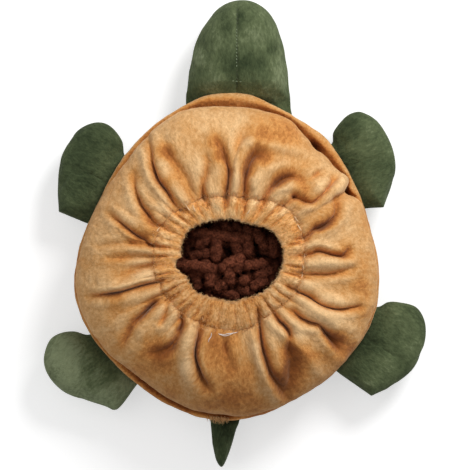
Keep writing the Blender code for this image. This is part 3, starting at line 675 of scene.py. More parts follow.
# Brushed patches of the belly cloth with painted light and shade on its folds: picture point, radius in
# pixels, lighter (+) or darker (-)
PILE_LIGHT_AND_SHADE_PATCHES = (
    (200, 128, 30, 0.22), (160, 120, 20, 0.20), (215, 142, 11, -0.52), (219, 158, 7, -0.35),
    (168, 152, 8, -0.45), (262, 136, 12, -0.38), (284, 138, 13, -0.28), (263, 158, 10, -0.46),
    (250, 172, 6, -0.34), (275, 176, 8, -0.32), (283, 176, 9, -0.40), (305, 190, 9, -0.35),
    (316, 190, 7, 0.10), (322, 226, 9, -0.40), (190, 170, 14, 0.10), (97, 235, 22, 0.18),
    (105, 315, 24, 0.14), (118, 302, 9, -0.35), (160, 352, 15, -0.55), (185, 385, 24, 0.10),
    (222, 350, 20, -0.30), (240, 372, 14, -0.25), (232, 395, 12, -0.30), (298, 352, 15, -0.70),
    (282, 375, 10, -0.60), (318, 385, 14, 0.16), (338, 338, 10, -0.55), (350, 352, 8, -0.35),
    (357, 285, 9, -0.30), (345, 252, 8, -0.35), (350, 222, 16, 0.20), (335, 312, 14, 0.22),
    (130, 200, 16, 0.12), (150, 228, 12, -0.34), (172, 180, 8, -0.30), (228, 130, 14, 0.15),
    (150, 275, 10, 0.22), (140, 262, 12, 0.16), (185, 362, 7, 0.25), (310, 340, 10, 0.22),
    (120, 262, 14, -0.16), (176, 335, 7, 0.20), (259, 345, 5, 0.30), (262, 392, 7, 0.20),
    (325, 290, 9, 0.16), (145, 190, 8, 0.16), (208, 340, 8, -0.20), (300, 330, 9, 0.22),
    (95, 275, 12, 0.12), (255, 398, 10, -0.20), (300, 250, 7, -0.20), (332, 240, 9, 0.20),
    (240, 115, 16, 0.10),
)
# Stitches that show beside the casing's seam, and the loose thread ends, as picture points
CASING_STITCHES = (
    ((303.4, 244.6), (303.9, 248), (303.7, 251)), ((304.1, 253), (304, 256), (303.6, 258.4)),
    ((302.2, 264), (302.6, 267), (302.4, 269.6)), ((301.9, 272), (301.6, 275), (301, 277.6)),
    ((294, 216.4), (296, 220), (298.6, 222.4)), ((296.8, 224.6), (299, 228), (300.6, 231)),
    ((157.2, 232.4), (158.6, 229.6), (160.6, 227.4)), ((246.2, 214.6), (248.2, 212.4), (249.6, 209.8)),
    ((186, 204.6), (188.4, 208.4), (190.6, 211)), ((193.4, 205.4), (194.4, 209), (195.6, 211.6)),
)
LOOSE_THREADS = (
    ((208.6, 341), (209.4, 338), (211, 336), (211.6, 333.4), (211.4, 331.6)),
    ((218.6, 332.4), (221, 333.8), (225, 334.8), (229, 334), (232.6, 332.6)),
    ((220, 333), (224, 333.6), (228, 332.6), (234, 332), (238, 331)),
)


def round_table(angles, table):
    """A smooth value round the body from a table of degrees and values."""
    degrees = np.array([row[0] for row in table], float)
    values = np.array([row[1] for row in table], float)
    fine = np.linspace(0, 360, 721)[:-1]
    wrapped = np.concatenate([degrees - 360, degrees, degrees + 360])
    level = np.interp(fine, wrapped, np.tile(values, 3))
    kernel = np.array([1, 2, 3, 4, 3, 2, 1]) / 16
    level = np.convolve(np.concatenate([level[-3:], level, level[:3]]), kernel, "valid")
    turned = np.mod(np.degrees(angles), 360)
    return np.interp(turned, np.append(fine, 360), np.append(level, level[0]))


def rim_radius(angles):
    """The outline of the lip as the photograph shows it."""
    return body_radius(angles) + round_table(angles, RIM_TRIM) * MM


def lip_band(angles):
    """Width of the lip seen beyond the belly cloth."""
    return round_table(angles, LIP_BAND) * MM


def outline_radius(angles, outline):
    """The radius about the middle of the mouth of an outline given as picture points."""
    line = np.array([place(px, py) for px, py in outline]) - MOUTH_MIDDLE
    line = curve_through(line, 6, closed=True)
    turns = np.degrees(np.arctan2(line[:, 1], line[:, 0])) % 360
    order = np.argsort(turns)
    return round_table(angles, np.stack([turns[order], np.hypot(line[:, 0], line[:, 1])[order]], 1))


def seam_radius(angles):
    """The casing's outer seam, about the middle of the mouth."""
    return outline_radius(angles, CASING_SEAM)


def seam_rise(angles):
    """How far the casing's outer seam lies higher under its pile, most at the left."""
    return 0.9 * MM * bell(degrees_from(angles, 205), 60)


def gather_field(angles):
    """The casing's gathers: crests of 1 and sharp creases of -1, uneven in width and size."""
    stops = [GATHER_START]
    while stops[-1] < 360:
        pitch = np.interp(stops[-1], *zip(*GATHER_PITCH))
        stops.append(stops[-1] + pitch * (0.70 + 0.60 * rng.random()))
    stretch = 360 / (stops[-1] - GATHER_START)
    stops = np.radians(GATHER_START + (np.array(stops) - GATHER_START) * stretch)
    count = len(stops) - 1
    sizes = 0.40 + 0.95 * rng.random(count)
    turned = np.mod(angles - stops[0], 2 * math.pi) + stops[0]
    index = np.clip(np.searchsorted(stops, turned, side="right") - 1, 0, count - 1)
    share = (turned - stops[index]) / (stops[index + 1] - stops[index])
    crest = np.abs(np.sin(math.pi * share)) ** 0.7
    size = sizes[index] * (1 - smooth(share)) + sizes[(index + 1) % count] * smooth(share)
    return (2 * crest - 1) * size


def line_field(plan, line):
    """Depth, distance, side distance and side direction of each plan point to a line with depths."""
    points = curve_through(line, 5)
    best = np.full(len(plan), 1e9)
    depth = np.zeros(len(plan))
    signed = np.zeros(len(plan))
    sideways = np.zeros((len(plan), 2))
    for start, end in zip(points[:-1], points[1:]):
        along = end[:2] - start[:2]
        length = np.linalg.norm(along) + 1e-12
        along = along / length
        share = np.clip((plan - start[:2]) @ along / length, 0, 1)
        nearest = start[:2] + share[:, None] * along * length
        apart = plan - nearest
        distance = np.linalg.norm(apart, axis=1)
        closer = distance < best
        left = np.array((-along[1], along[0]))
        best[closer] = distance[closer]
        depth[closer] = (start[2] + (end[2] - start[2]) * share)[closer]
        signed[closer] = (apart @ left)[closer]
        sideways[closer] = left
    return depth, best, signed, sideways


def metric_line(line, reach_in=0.0):
    """Picture points with depths in metres, carried on into the casing where they start at its seam."""
    points = [np.array((*place(px, py), depth * MM)) for px, py, depth in line]
    for end in (0, -1):
        offset = points[end][:2] - MOUTH_MIDDLE
        turn = np.array([math.atan2(offset[1], offset[0])])
        seam = float(seam_radius(turn)[0])
        if reach_in and np.linalg.norm(offset) < seam + 5 * MM:
            inner = MOUTH_MIDDLE + offset / np.linalg.norm(offset) * (seam - reach_in)
            extra = np.array((*inner, points[end][2] * 0.45))
            points = [extra] + points if end == 0 else points + [extra]
    return np.array(points)


def fold_relief(plan):
    """Lift along the cloth's normal, sideways shift and painted shade of the belly's folds at each plan
    point.
    """
    lift = np.zeros(len(plan))
    shift = np.zeros((len(plan), 2))
    shade = np.zeros(len(plan))
    for fold, width, lean in FOLDS:
        depth, distance, signed, sideways = line_field(plan, metric_line(fold, FOLD_REACH))
        width *= MM
        side = 1 if lean >= 0 else -1
        valley = np.exp(-(distance / width) ** 1.3)
        banks = bell(distance - 2.3 * width, 1.5 * width)
        lift += depth * (0.45 * banks - 1.08 * valley)
        over = bell(signed - 1.1 * width * side, 1.3 * width)
        shift -= (lean * depth * 0.62 * over)[:, None] * sideways
        # Painted shade in the fold's valley and painted light on its banks
        shade -= 0.66 * bell(distance, 1.5 * width) * depth / (6 * MM)
        shade += 0.22 * banks * depth / (6 * MM)
    for ridge, width in RIDGES:
        height, distance = line_field(plan, metric_line(ridge))[:2]
        width *= MM
        lift += height * bell(distance, width)
        # Painted light along the raised fold
        shade += 0.26 * bell(distance, width) * height / (3 * MM)
    return lift, shift, shade


def make_skirt(gathers, angles):
    """The belly cloth from the casing to the rim, with its folds, brushed patches and painted light and
    shade.
    """
    rows = 76
    steps = len(angles)
    line = curve_through(SKIRT_PROFILE, 12)
    rise = SKIRT_CREST - SKIRT_FOOT
    line = resample(line * (SKIRT_SPAN, rise), rows) / (SKIRT_SPAN, rise)
    run = np.linspace(0, 1, rows)
    seam = seam_radius(angles) - 0.9 * MM
    around = np.stack([np.cos(angles), np.sin(angles)], 1)
    inner = MOUTH_MIDDLE + seam[:, None] * around
    outer = (rim_radius(angles) - lip_band(angles))[:, None] * around
    spread = outer - inner
    points = np.zeros((steps, rows, 3))
    points[:, :, :2] = inner[:, None] + spread[:, None] * line[None, :, :1]
    low = smooth((lip_band(angles) - 2 * MM) / (4 * MM))
    drop = ((1.2 + 6.0 * low) * MM)[:, None] * smooth((run - 0.55) / 0.45)[None] ** 2
    points[:, :, 2] = SKIRT_FOOT + rise * line[None, :, 1] - drop
    round_step = np.roll(points, -1, 0) - np.roll(points, 1, 0)
    row_step = np.gradient(points, axis=1)
    normal = np.cross(round_step, row_step)
    normal /= np.linalg.norm(normal, axis=2)[..., None] + 1e-12
    normal *= np.sign(normal[:, rows // 4, 2])[:, None, None]

    flat = points.reshape(-1, 3)
    plan = flat[:, :2]
    fade = np.tile(1 - smooth((run - 0.76) / 0.20), steps)
    lift, shift, shade = fold_relief(plan)
    field = np.repeat(gathers, rows)
    reach = 0.11 + 0.12 * np.maximum(np.cos(angles - math.radians(200)), 0)
    near = (np.exp(-run[None] / reach[:, None]) * smooth(0.35 + run / 0.04)[None]).reshape(-1)
    lift += 1.6 * MM * field * near
    # Painted light on the gathers' crests and painted shade in their creases
    shade += 0.20 * field * near
    start = np.tile(smooth(run / 0.05), steps)
    lift = lift * start + (1 - start) * (np.clip(lift, SEAM_SINK, SEAM_LIFT) - 0.25 * MM)
    lift += (seam_rise(angles)[:, None] * np.exp(-run / 0.05)[None]).reshape(-1)
    # Painted shade along the casing's seam
    shade -= 0.05 * (1 - start)
    broad = noise_field(flat, 24, 3.1)
    creases = noise_field(flat * (1, 1, 0.5), 75, 9.0, 2)
    small = noise_field(flat, 260, 1.7, 2)
    lift += 1.1 * MM * broad + 0.7 * MM * creases + 0.22 * MM * small
    lift *= fade
    shift *= fade[:, None]
    lift += (1 - fade) * (0.45 * MM * creases + 0.2 * MM * small)
    moved = flat + lift[:, None] * normal.reshape(-1, 3)
    moved[:, :2] += shift
    # Brushed pile, and painted light and shade on the folds, in soft patches
    add_patches(shade, plan, PILE_LIGHT_AND_SHADE_PATCHES)
    shade += 0.10 * noise_field(flat * (1, 1, 0.6), 46, 5.0, 2)
    lower = lower_share(plan)
    # Darker towards the bottom, partly the pile's own colour and partly painted shade, with painted shade
    # where the cloth turns down to the lip
    tone = 0.58 + shade - 0.20 * lower - 0.10 * np.tile(smooth((run - 0.8) / 0.2), steps)
    skirt = link_mesh("belly_skirt_cloth", moved, ring_faces(steps, rows), TAN)
    skirt.data.flip_normals()
    set_tone(skirt, tone)
    # Painted shade on the lower side
    set_tone(skirt, 0.24 * lower, "painted_shade")
    set_nap(skirt, round_nap(SKIRT_NAP, angles, rows, np.tile(run * SKIRT_NAP * 0.62, steps)))
    solidify(skirt)
    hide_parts("belly_skirt")
    return skirt


def make_casing(gathers, angles):
    """The gathered casing tube round the mouth, pinched at its outer seam."""
    around = 40
    steps = len(angles)
    turns = full_turn(around)
    out = 0.5 - 0.5 * np.cos(turns)
    plump = np.sin(turns)
    pinch = (0.38 + 0.22 * np.sin(angles - 0.3))[:, None] * smooth((out - 0.62) / 0.38)[None]
    height = CASING_HALF_HEIGHT * (np.sign(plump) * np.abs(plump) ** 0.70)[None]
    height = height * np.where(plump > 0, 1 - pinch, 1)
    edge = outline_radius(angles, MOUTH_EDGE)
    width = seam_radius(angles) + 0.3 * MM - edge
    field = gathers[:, None] * (0.35 + 0.65 * smooth(out / 0.8)[None])
    radius = edge[:, None] + width[:, None] * out[None] + 0.7 * MM * gathers[:, None] * (1 - out[None]) ** 3
    top = np.maximum(plump, 0.2)[None]
    points = polar_grid(radius, angles, CASING_LEVEL + height + 1.25 * MM * field * top, MOUTH_MIDDLE)
    points[..., 2] += seam_rise(angles)[:, None] * (smooth((out - 0.55) / 0.35) * (plump > 0))[None]
    flat = points.reshape(-1, 3)
    lift, shift, fold_shade = fold_relief(flat[:, :2])
    weight = (np.maximum(plump, 0) * smooth((out - 0.12) / 0.5))[None].repeat(steps, 0).reshape(-1)
    sink = np.tile(smooth((out - 0.30) / 0.65), steps)
    flat[:, 2] += np.clip(lift, SEAM_SINK, SEAM_LIFT) * sink
    flat[:, 2] += 0.35 * np.maximum(lift, -4.5 * MM) * weight
    flat[:, :2] += 0.7 * shift * weight[:, None]
    flat[:, 2] += 0.55 * MM * noise_field(flat, 170, 4.0, 2) * np.tile(top[0], steps)
    casing = link_mesh("mouth_casing_cloth", flat, ring_faces(steps, around, True), TAN_GATHERED_AND_LIT)
    fix_normals(casing)
    # Painted light on the gathers' crests and the upper side, painted shade in their creases and folds, and
    # paler at the mouth's edge
    tone = 0.47 + 0.22 * field + 0.20 * bell(out - 0.04, 0.06)[None] + 0.08 * np.sin(angles)[:, None]
    tone = tone.reshape(-1) + 0.26 * noise_field(flat, 110, 8.0, 2) + 0.8 * fold_shade * weight
    set_tone(casing, tone)
    # Painted shade on the casing's lower side
    set_tone(casing, np.repeat(0.20 * smooth(-np.sin(angles + 0.1) * 1.6), around), "painted_shade")
    set_nap(casing, round_nap(CASING_NAP, angles, around, (out[None] * width[:, None] * 0.6).reshape(-1)))
    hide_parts("mouth_casing", "mouth_elastic")
    return casing


def fix_normals(item):
    """Turns a closed piece's faces outward."""
    builder = bmesh.new()
    builder.from_mesh(item.data)
    bmesh.ops.recalc_face_normals(builder, faces=builder.faces)
    builder.to_mesh(item.data)
    builder.free()


def make_lip():
    """The padded lip round the rim: a raised edge that dips to where the belly cloth meets it."""
    steps, around = 540, 36
    angles = full_turn(steps)
    turns = full_turn(around)
    band = lip_band(angles)
    width = LIP_WIDTH + band
    inward = 0.5 - 0.5 * np.cos(turns)
    radius = rim_radius(angles)[:, None] - width[:, None] * inward[None]
    points = polar_grid(radius, angles, LIP_FOOT + LIP_HEIGHT / 2 * (1 + np.sin(turns)[None]))
    top = smooth((np.sin(turns) + 0.15) / 0.6)[None]
    seen = width[:, None] * inward[None] / np.maximum(band, 1.5 * MM)[:, None]
    wide = smooth((band - 1.8 * MM) / (4 * MM))[:, None]
    dip = smooth((seen - 0.35) / 0.7)
    points[..., 2] -= top * wide * dip * LIP_DIP
    deep = np.zeros(steps)
    for degrees, spread in ((51.8, 2.6), (29.2, 2.0)):
        deep += bell(degrees_from(angles, degrees), spread)
    points[..., 2] -= top * smooth((seen - 0.50) / 0.3) * deep[:, None] * LIP_DIP
    flat = points.reshape(-1, 3)
    lumps = noise_field(flat, 46, 2.0) * 0.8 * MM + noise_field(flat, 150, 6.0, 2) * 0.3 * MM
    flat += lumps[:, None] * np.stack([
        (np.cos(turns)[None] * np.cos(angles)[:, None]).ravel(),
        (np.cos(turns)[None] * np.sin(angles)[:, None]).ravel(),
        np.tile(np.sin(turns), steps),
    ], 1)
    lip = link_mesh("rim_lip_roll", flat, ring_faces(steps, around, True), TAN)
    fix_normals(lip)
    # Painted highlight along the lip's outer edge, painted shadow where the belly cloth overhangs it and in
    # its pockets, and painted shade towards the bottom
    tone = 0.34 + 0.26 * bell(seen - 0.05, 0.25) - 0.20 * smooth((seen - 0.65) / 0.4) * wide
    tone -= deep[:, None] * smooth((seen - 0.45) / 0.25)
    tone = tone.reshape(-1) + 0.12 * noise_field(flat, 60, 3.0, 2) - 0.24 * lower_share(flat)
    set_tone(lip, tone)
    set_nap(lip, flat * (1, 1, 0.5))
    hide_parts("rim_lip")
    return lip


def top_point(x, y, rise):
    """The point over a plan place, at a rise above the belly cloth or the casing."""
    levels = sorted(BELLY[index, 2] for _, index, _ in BELLY_PLAN.find_n((x, y, 0), 7))
    return (x, y, float(levels[-2]) + rise)


def make_casing_details():
    """The stitches at the right of the casing's outer seam and the loose white thread ends."""
    lines = []
    for ends in CASING_STITCHES:
        line = curve_through([place(px, py) for px, py in ends], 4)
        heights = [0.60 * MM - 0.60 * MM * abs(share - 0.5) for share in np.linspace(0, 1, len(line))]
        lines.append([top_point(x, y, height) for (x, y), height in zip(line, heights)])
    tubes("casing_stitches", lines, 0.42 * MM, TAN_THREAD, "shell_and_belly")
    lines = []
    for ends in LOOSE_THREADS:
        line = curve_through([place(px, py) for px, py in ends], 4)
        lines.append([top_point(x, y, 0.45 * MM) for x, y in line])
    tubes("loose_white_thread", lines, 0.19 * MM, WHITE_THREAD, "shell_and_belly")


def make_mouth_fuzz():
    """Pale fibres round the mouth edge and the casing, pile over its seam, and a tuft at the tail end."""
    spots, tones = [], []
    edges, seams = (outline_radius(ANGLES, outline) for outline in (MOUTH_EDGE, CASING_SEAM))
    for count, start, reach, length, outward, scatter, rise, girth, tone in (
        (1700, (0.2, 1.6), 0.0, (0.9, 1.1), (-1.15, 1.7), 0.9, (0.55, 0.5), 0.13, 0.80),
        (4200, (0.6, 0.0), 0.96, (1.2, 1.3), (0.4, 0.6), 0.8, (0.42, 0.1), 0.13, 0.50),
        (3400, (-2.2, 4.2), 1.0, (1.4, 1.3), (-0.9, 1.9), 0.8, (0.22, 0.20), 0.12, 0.55),
    ):
        for _ in range(count):
            turn = rng.random() * 2 * math.pi
            place_on = int(turn / (2 * math.pi) * len(ANGLES))
            edge, seam = edges[place_on], seams[place_on]
            share = reach if reach == 1.0 else reach * rng.random()
            around = np.array((math.cos(turn), math.sin(turn)))
            radius = edge + (seam - edge) * share + (start[0] + start[1] * rng.random()) * MM
            x, y = MOUTH_MIDDLE + radius * around
            lean = around * (outward[0] + outward[1] * rng.random()) + (rng.random(2) - 0.5) * scatter
            root = np.array(top_point(x, y, -0.25 * MM))
            reach_out = (length[0] + length[1] * rng.random()) * MM
            tip = root + reach_out * np.array((*lean, rise[0] + rise[1] * rng.random()))
            spots.append((root, tip, girth * MM))
            tones.append(tone + 0.50 * rng.random() ** 1.5)
    for _ in range(150):
        turn = math.radians(266.5 + 2.3 * (rng.random() + rng.random() - 1) * 2)
        rim = float(rim_radius(np.array([turn]))[0]) - (0.4 + 3.0 * rng.random()) * MM
        root = np.array((rim * math.cos(turn), rim * math.sin(turn), 40.6 * MM))
        lean = np.array((0.5 * (rng.random() - 0.5), -0.9 - 0.4 * rng.random(), 0.35))
        spots.append((root, root + lean * (1.8 + 1.6 * rng.random()) * MM, 0.16 * MM))
        tones.append(0.75 + 0.3 * rng.random())
    fuzz = make_fuzz("mouth_edge_fuzz", TAN_GATHERED_AND_LIT, spots)
    set_tone(fuzz, np.repeat(tones, FIBRE_POINTS))
    set_nap(fuzz, mesh_points(fuzz))


def make_fuzz(name, material, spots):
    """Short tapered fibres of seven points: root, tip and thickness for each."""
    points, faces = [], []
    for root, tip, girth in spots:
        root, tip = Vector(root), Vector(tip)
        along = (tip - root).normalized()
        side = along.orthogonal().normalized()
        other = along.cross(side)
        middle = root.lerp(tip, 0.55) + other * (tip - root).length * 0.12
        base = len(points)
        for spot, radius in ((root, girth), (middle, girth * 0.75)):
            points += ring_points(spot, side, other, radius, 3)
        points.append(tip)
        faces.append((base + 2, base + 1, base))
        for corner in range(3):
            after = (corner + 1) % 3
            faces.append((base + corner, base + after, base + 3 + after, base + 3 + corner))
            faces.append((base + 3 + corner, base + 3 + after, base + 6))
    return link_mesh(name, points, faces, material)


# Chenille mat

MAT_RADIUS = 79.4 * MM
FINGER_PITCH = 8.2 * MM
SEEN_HEIGHT = 46 * MM
# Fingers seen in the mouth: picture points from where each shows to its tip, height in mm, and shade, a
# finger's brightness with painted light and shade in it
MOUTH_FINGERS = (
    (((216, 235), (217, 248), (215, 263)), 58.5, 0.50), (((248, 233), (248, 244), (248, 257)), 58.0, 0.50),
    (((235, 238), (237, 246), (238, 255)), 56.5, 0.46), (((257, 235), (263, 242), (265, 251)), 56.5, 0.56),
    (((272, 243), (274, 249), (274, 258)), 56.0, 0.62), (((240, 238), (216, 234), (191, 232)), 60.0, 0.58),
    (((209, 238), (203, 241), (196, 248)), 58.0, 0.48), (((232, 232), (226, 227), (221, 224)), 55.0, 0.50),
    (((240, 233), (237, 228), (231, 225)), 53.5, 0.46), (((210, 253), (199, 254), (188, 258)), 56.0, 0.30),
    (((202, 272), (192, 273), (183, 275)), 57.0, 0.36), (((207, 267), (210, 276), (209, 289)), 59.5, 0.44),
    (((199, 272), (197, 281), (198, 291)), 56.0, 0.34), (((233, 261), (226, 265), (219, 271)), 58.5, 0.58),
    (((240, 257), (238, 265), (237, 273)), 57.5, 0.54), (((228, 270), (230, 277), (230, 286)), 58.5, 0.48),
    (((244, 280),), 60.5, 0.78), (((249, 265), (258, 264), (269, 262)), 58.0, 0.52),
    (((270, 270), (262, 274), (253, 276)), 56.5, 0.40), (((228, 281), (221, 286), (213, 291)), 56.0, 0.38),
    (((243, 290), (248, 291), (256, 294)), 55.0, 0.40), (((226, 293), (233, 295), (241, 297)), 53.5, 0.38),
    (((262, 282), (256, 285), (250, 289)), 57.5, 0.44), (((274, 268), (272, 276), (268, 285)), 54.0, 0.30),
    (((186, 240), (188, 248), (187, 256)), 50.0, 0.20), (((208, 268), (193, 265), (175, 266)), 62.5, 0.45),
)


def finger_line(path, level):
    """A finger's middle line: up from the mat, over and along to its tip."""
    spots = [np.array(place(*spot)) for spot in path]
    way = spots[-1] - spots[0]
    way = way / (np.linalg.norm(way) + 1e-9)
    level *= MM
    start = spots[0] - 1.5 * MM * way
    line = [(*(start - 2.5 * MM * way), level - 26 * MM), (*(start - 3.0 * MM * way), level - 9 * MM)]
    if len(spots) == 1:
        return line + [(*start, level)]
    return line + [(*spots[0], level - 0.8 * MM), (*spots[1], level), (*spots[2], level - 1.8 * MM)]


def make_chenille():
    """The mat's backing and its fluffy fingers, bent over each other every way."""
    steps = 96
    rows = (0.0, 0.35, 0.7, 0.93, 0.985, 1.0, 1.0, 0.985, 0.7, 0.0)
    levels = (23.4, 23.4, 23.4, 23.4, 23.2, 22.6, 21.0, 20.5, 20.4, 20.4)
    angles = full_turn(steps)
    radius = MAT_RADIUS * body_swell(angles)[:, None] * np.maximum(np.array(rows), 0.002)[None]
    points = polar_grid(radius, angles, np.array(levels)[None] * MM)
    backing = link_mesh("chenille_backing", points.reshape(-1, 3), pillow_faces(steps, len(rows)), BACKING)
    fix_normals(backing)
    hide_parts("chenille_mat")

    roots = []
    for row in range(-9, 10):
        for column in range(-9, 10):
            spot = np.array(((column + (row % 2) / 2) * FINGER_PITCH, row * FINGER_PITCH * 0.9))
            spot += (rng.random(2) - 0.5) * FINGER_PITCH * 0.45
            if np.linalg.norm(spot) < 57 * MM:
                roots.append(spot)
    points, faces, tones, fingers = [], [], [], []
    sides, along_steps = 20, 40
    for root in roots:
        share = 1 - float(root @ root) / (61 * MM) ** 2
        height = (24.5 + 2.5 * share + 5.0 * (rng.random() - 0.5)) * MM
        heading = rng.random() * 2 * math.pi
        reach = (6.0 + 8.5 * rng.random()) * MM
        droop = (1.0 + 4.0 * rng.random()) * MM
        bend = (rng.random() - 0.5) * 1.6
        base = np.array((MOUTH_MIDDLE[0] + root[0], MOUTH_MIDDLE[1] + root[1], 23.0 * MM))
        lean = (rng.random(2) - 0.5) * 6 * MM
        control = [base]
        for out, up, fall in ((0.02, 0.35, 0), (0.14, 0.75, 0), (0.45, 0.97, 0), (0.78, 1, 0), (1, 1, droop)):
            turn = heading + bend * out
            x, y = reach * out * math.cos(turn) + lean[0] * up, reach * out * math.sin(turn) + lean[1] * up
            control.append(base + (x, y, height * up - fall))
        girth = (3.3 + 0.5 * rng.random()) * MM
        tone = 0.34 + 0.58 * rng.random()
        fingers.append((control, heading, girth, tone))
    for path, level, tone in MOUTH_FINGERS:
        heading = math.atan2(path[0][1] - path[-1][1], path[-1][0] - path[0][0])
        fingers.append((finger_line(path, level), heading, (3.5 + 0.4 * rng.random()) * MM, tone))
    for control, heading, girth, tone in fingers:
        line = resample(curve_through(control, 8), along_steps)
        first = len(points)
        tangent = np.gradient(line, axis=0)
        tangent /= np.linalg.norm(tangent, axis=1)[:, None]
        up = np.array((math.cos(heading + 1.6), math.sin(heading + 1.6), 0.05))
        for index in range(along_steps):
            side = up - tangent[index] * (up @ tangent[index])
            side /= np.linalg.norm(side)
            top = np.cross(tangent[index], side)
            end = (along_steps - 1 - index) / (along_steps - 1)
            cap = math.sqrt(max(1 - max(1 - end / 0.13, 0) ** 2, 0.0)) if end < 0.13 else 1.0
            ring = girth * max(cap, 0.12) * (1 + 0.10 * math.sin(index * 1.3 + heading * 5))
            points += ring_points(line[index], side, top, ring, sides)
            tones += [tone] * sides
        faces += tube_faces(first, along_steps, sides)
    points = np.array(points)
    fingers = link_mesh("chenille_fingers", points, faces, CHENILLE)
    fix_normals(fingers)
    normals = np.zeros(len(points) * 3)
    fingers.data.vertices.foreach_get("normal", normals)
    normals = normals.reshape(-1, 3)
    fluff = 0.70 * MM * noise_field(points, 330, 2.0) + 0.60 * MM * noise_field(points, 700, 5.0)
    points = points + normals * fluff[:, None]
    fingers.data.vertices.foreach_set("co", points.ravel())
    fingers.data.update()
    # Painted shade, darker the lower a finger lies in the mouth, and painted light and shade on the fluff's
    # lumps
    depth = 1.15 * smooth((points[:, 2] - SEEN_HEIGHT) / (14 * MM))
    tones = np.array(tones) * (0.20 + 0.80 * depth) - 0.22 * (1 - depth)
    set_tone(fingers, tones + 0.36 * fluff / MM)
    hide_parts("chenille_mat")
    near = np.hypot(*(points[:, :2] - MOUTH_MIDDLE).T) < 40 * MM
    spots, shades = [], []
    seen, hidden = near & (points[:, 2] > SEEN_HEIGHT), ~near & (points[:, 2] > 42 * MM)
    for pool, count in ((seen, 15000), (hidden, 2500)):
        for index in rng.choice(np.flatnonzero(pool), count):
            way = normals[index] + (rng.random(3) - 0.5) * 1.2
            length = (0.8 + 1.0 * rng.random()) * MM
            spots.append((points[index] - 0.2 * MM * normals[index], points[index] + way * length, 0.18 * MM))
            shades.append(tones[index] * 0.8 + 0.50 * rng.random() - 0.04)
    fluff = make_fuzz("chenille_fluff", CHENILLE, spots)
    set_tone(fluff, np.repeat(shades, FIBRE_POINTS))


# Shell back

SHELL_FLAT = 44 * MM
SHELL_RISE = 24.0 * MM
CROWN_RADIUS = 42 * MM
GROOVE_DEPTH = 1.5 * MM
GROOVE_WIDTH = 2.0 * MM
# Where the lower left of the shell bulges between the rear left flipper and the tail, and how far
BULGE_DEGREES = 248.0
BULGE = 4.6 * MM


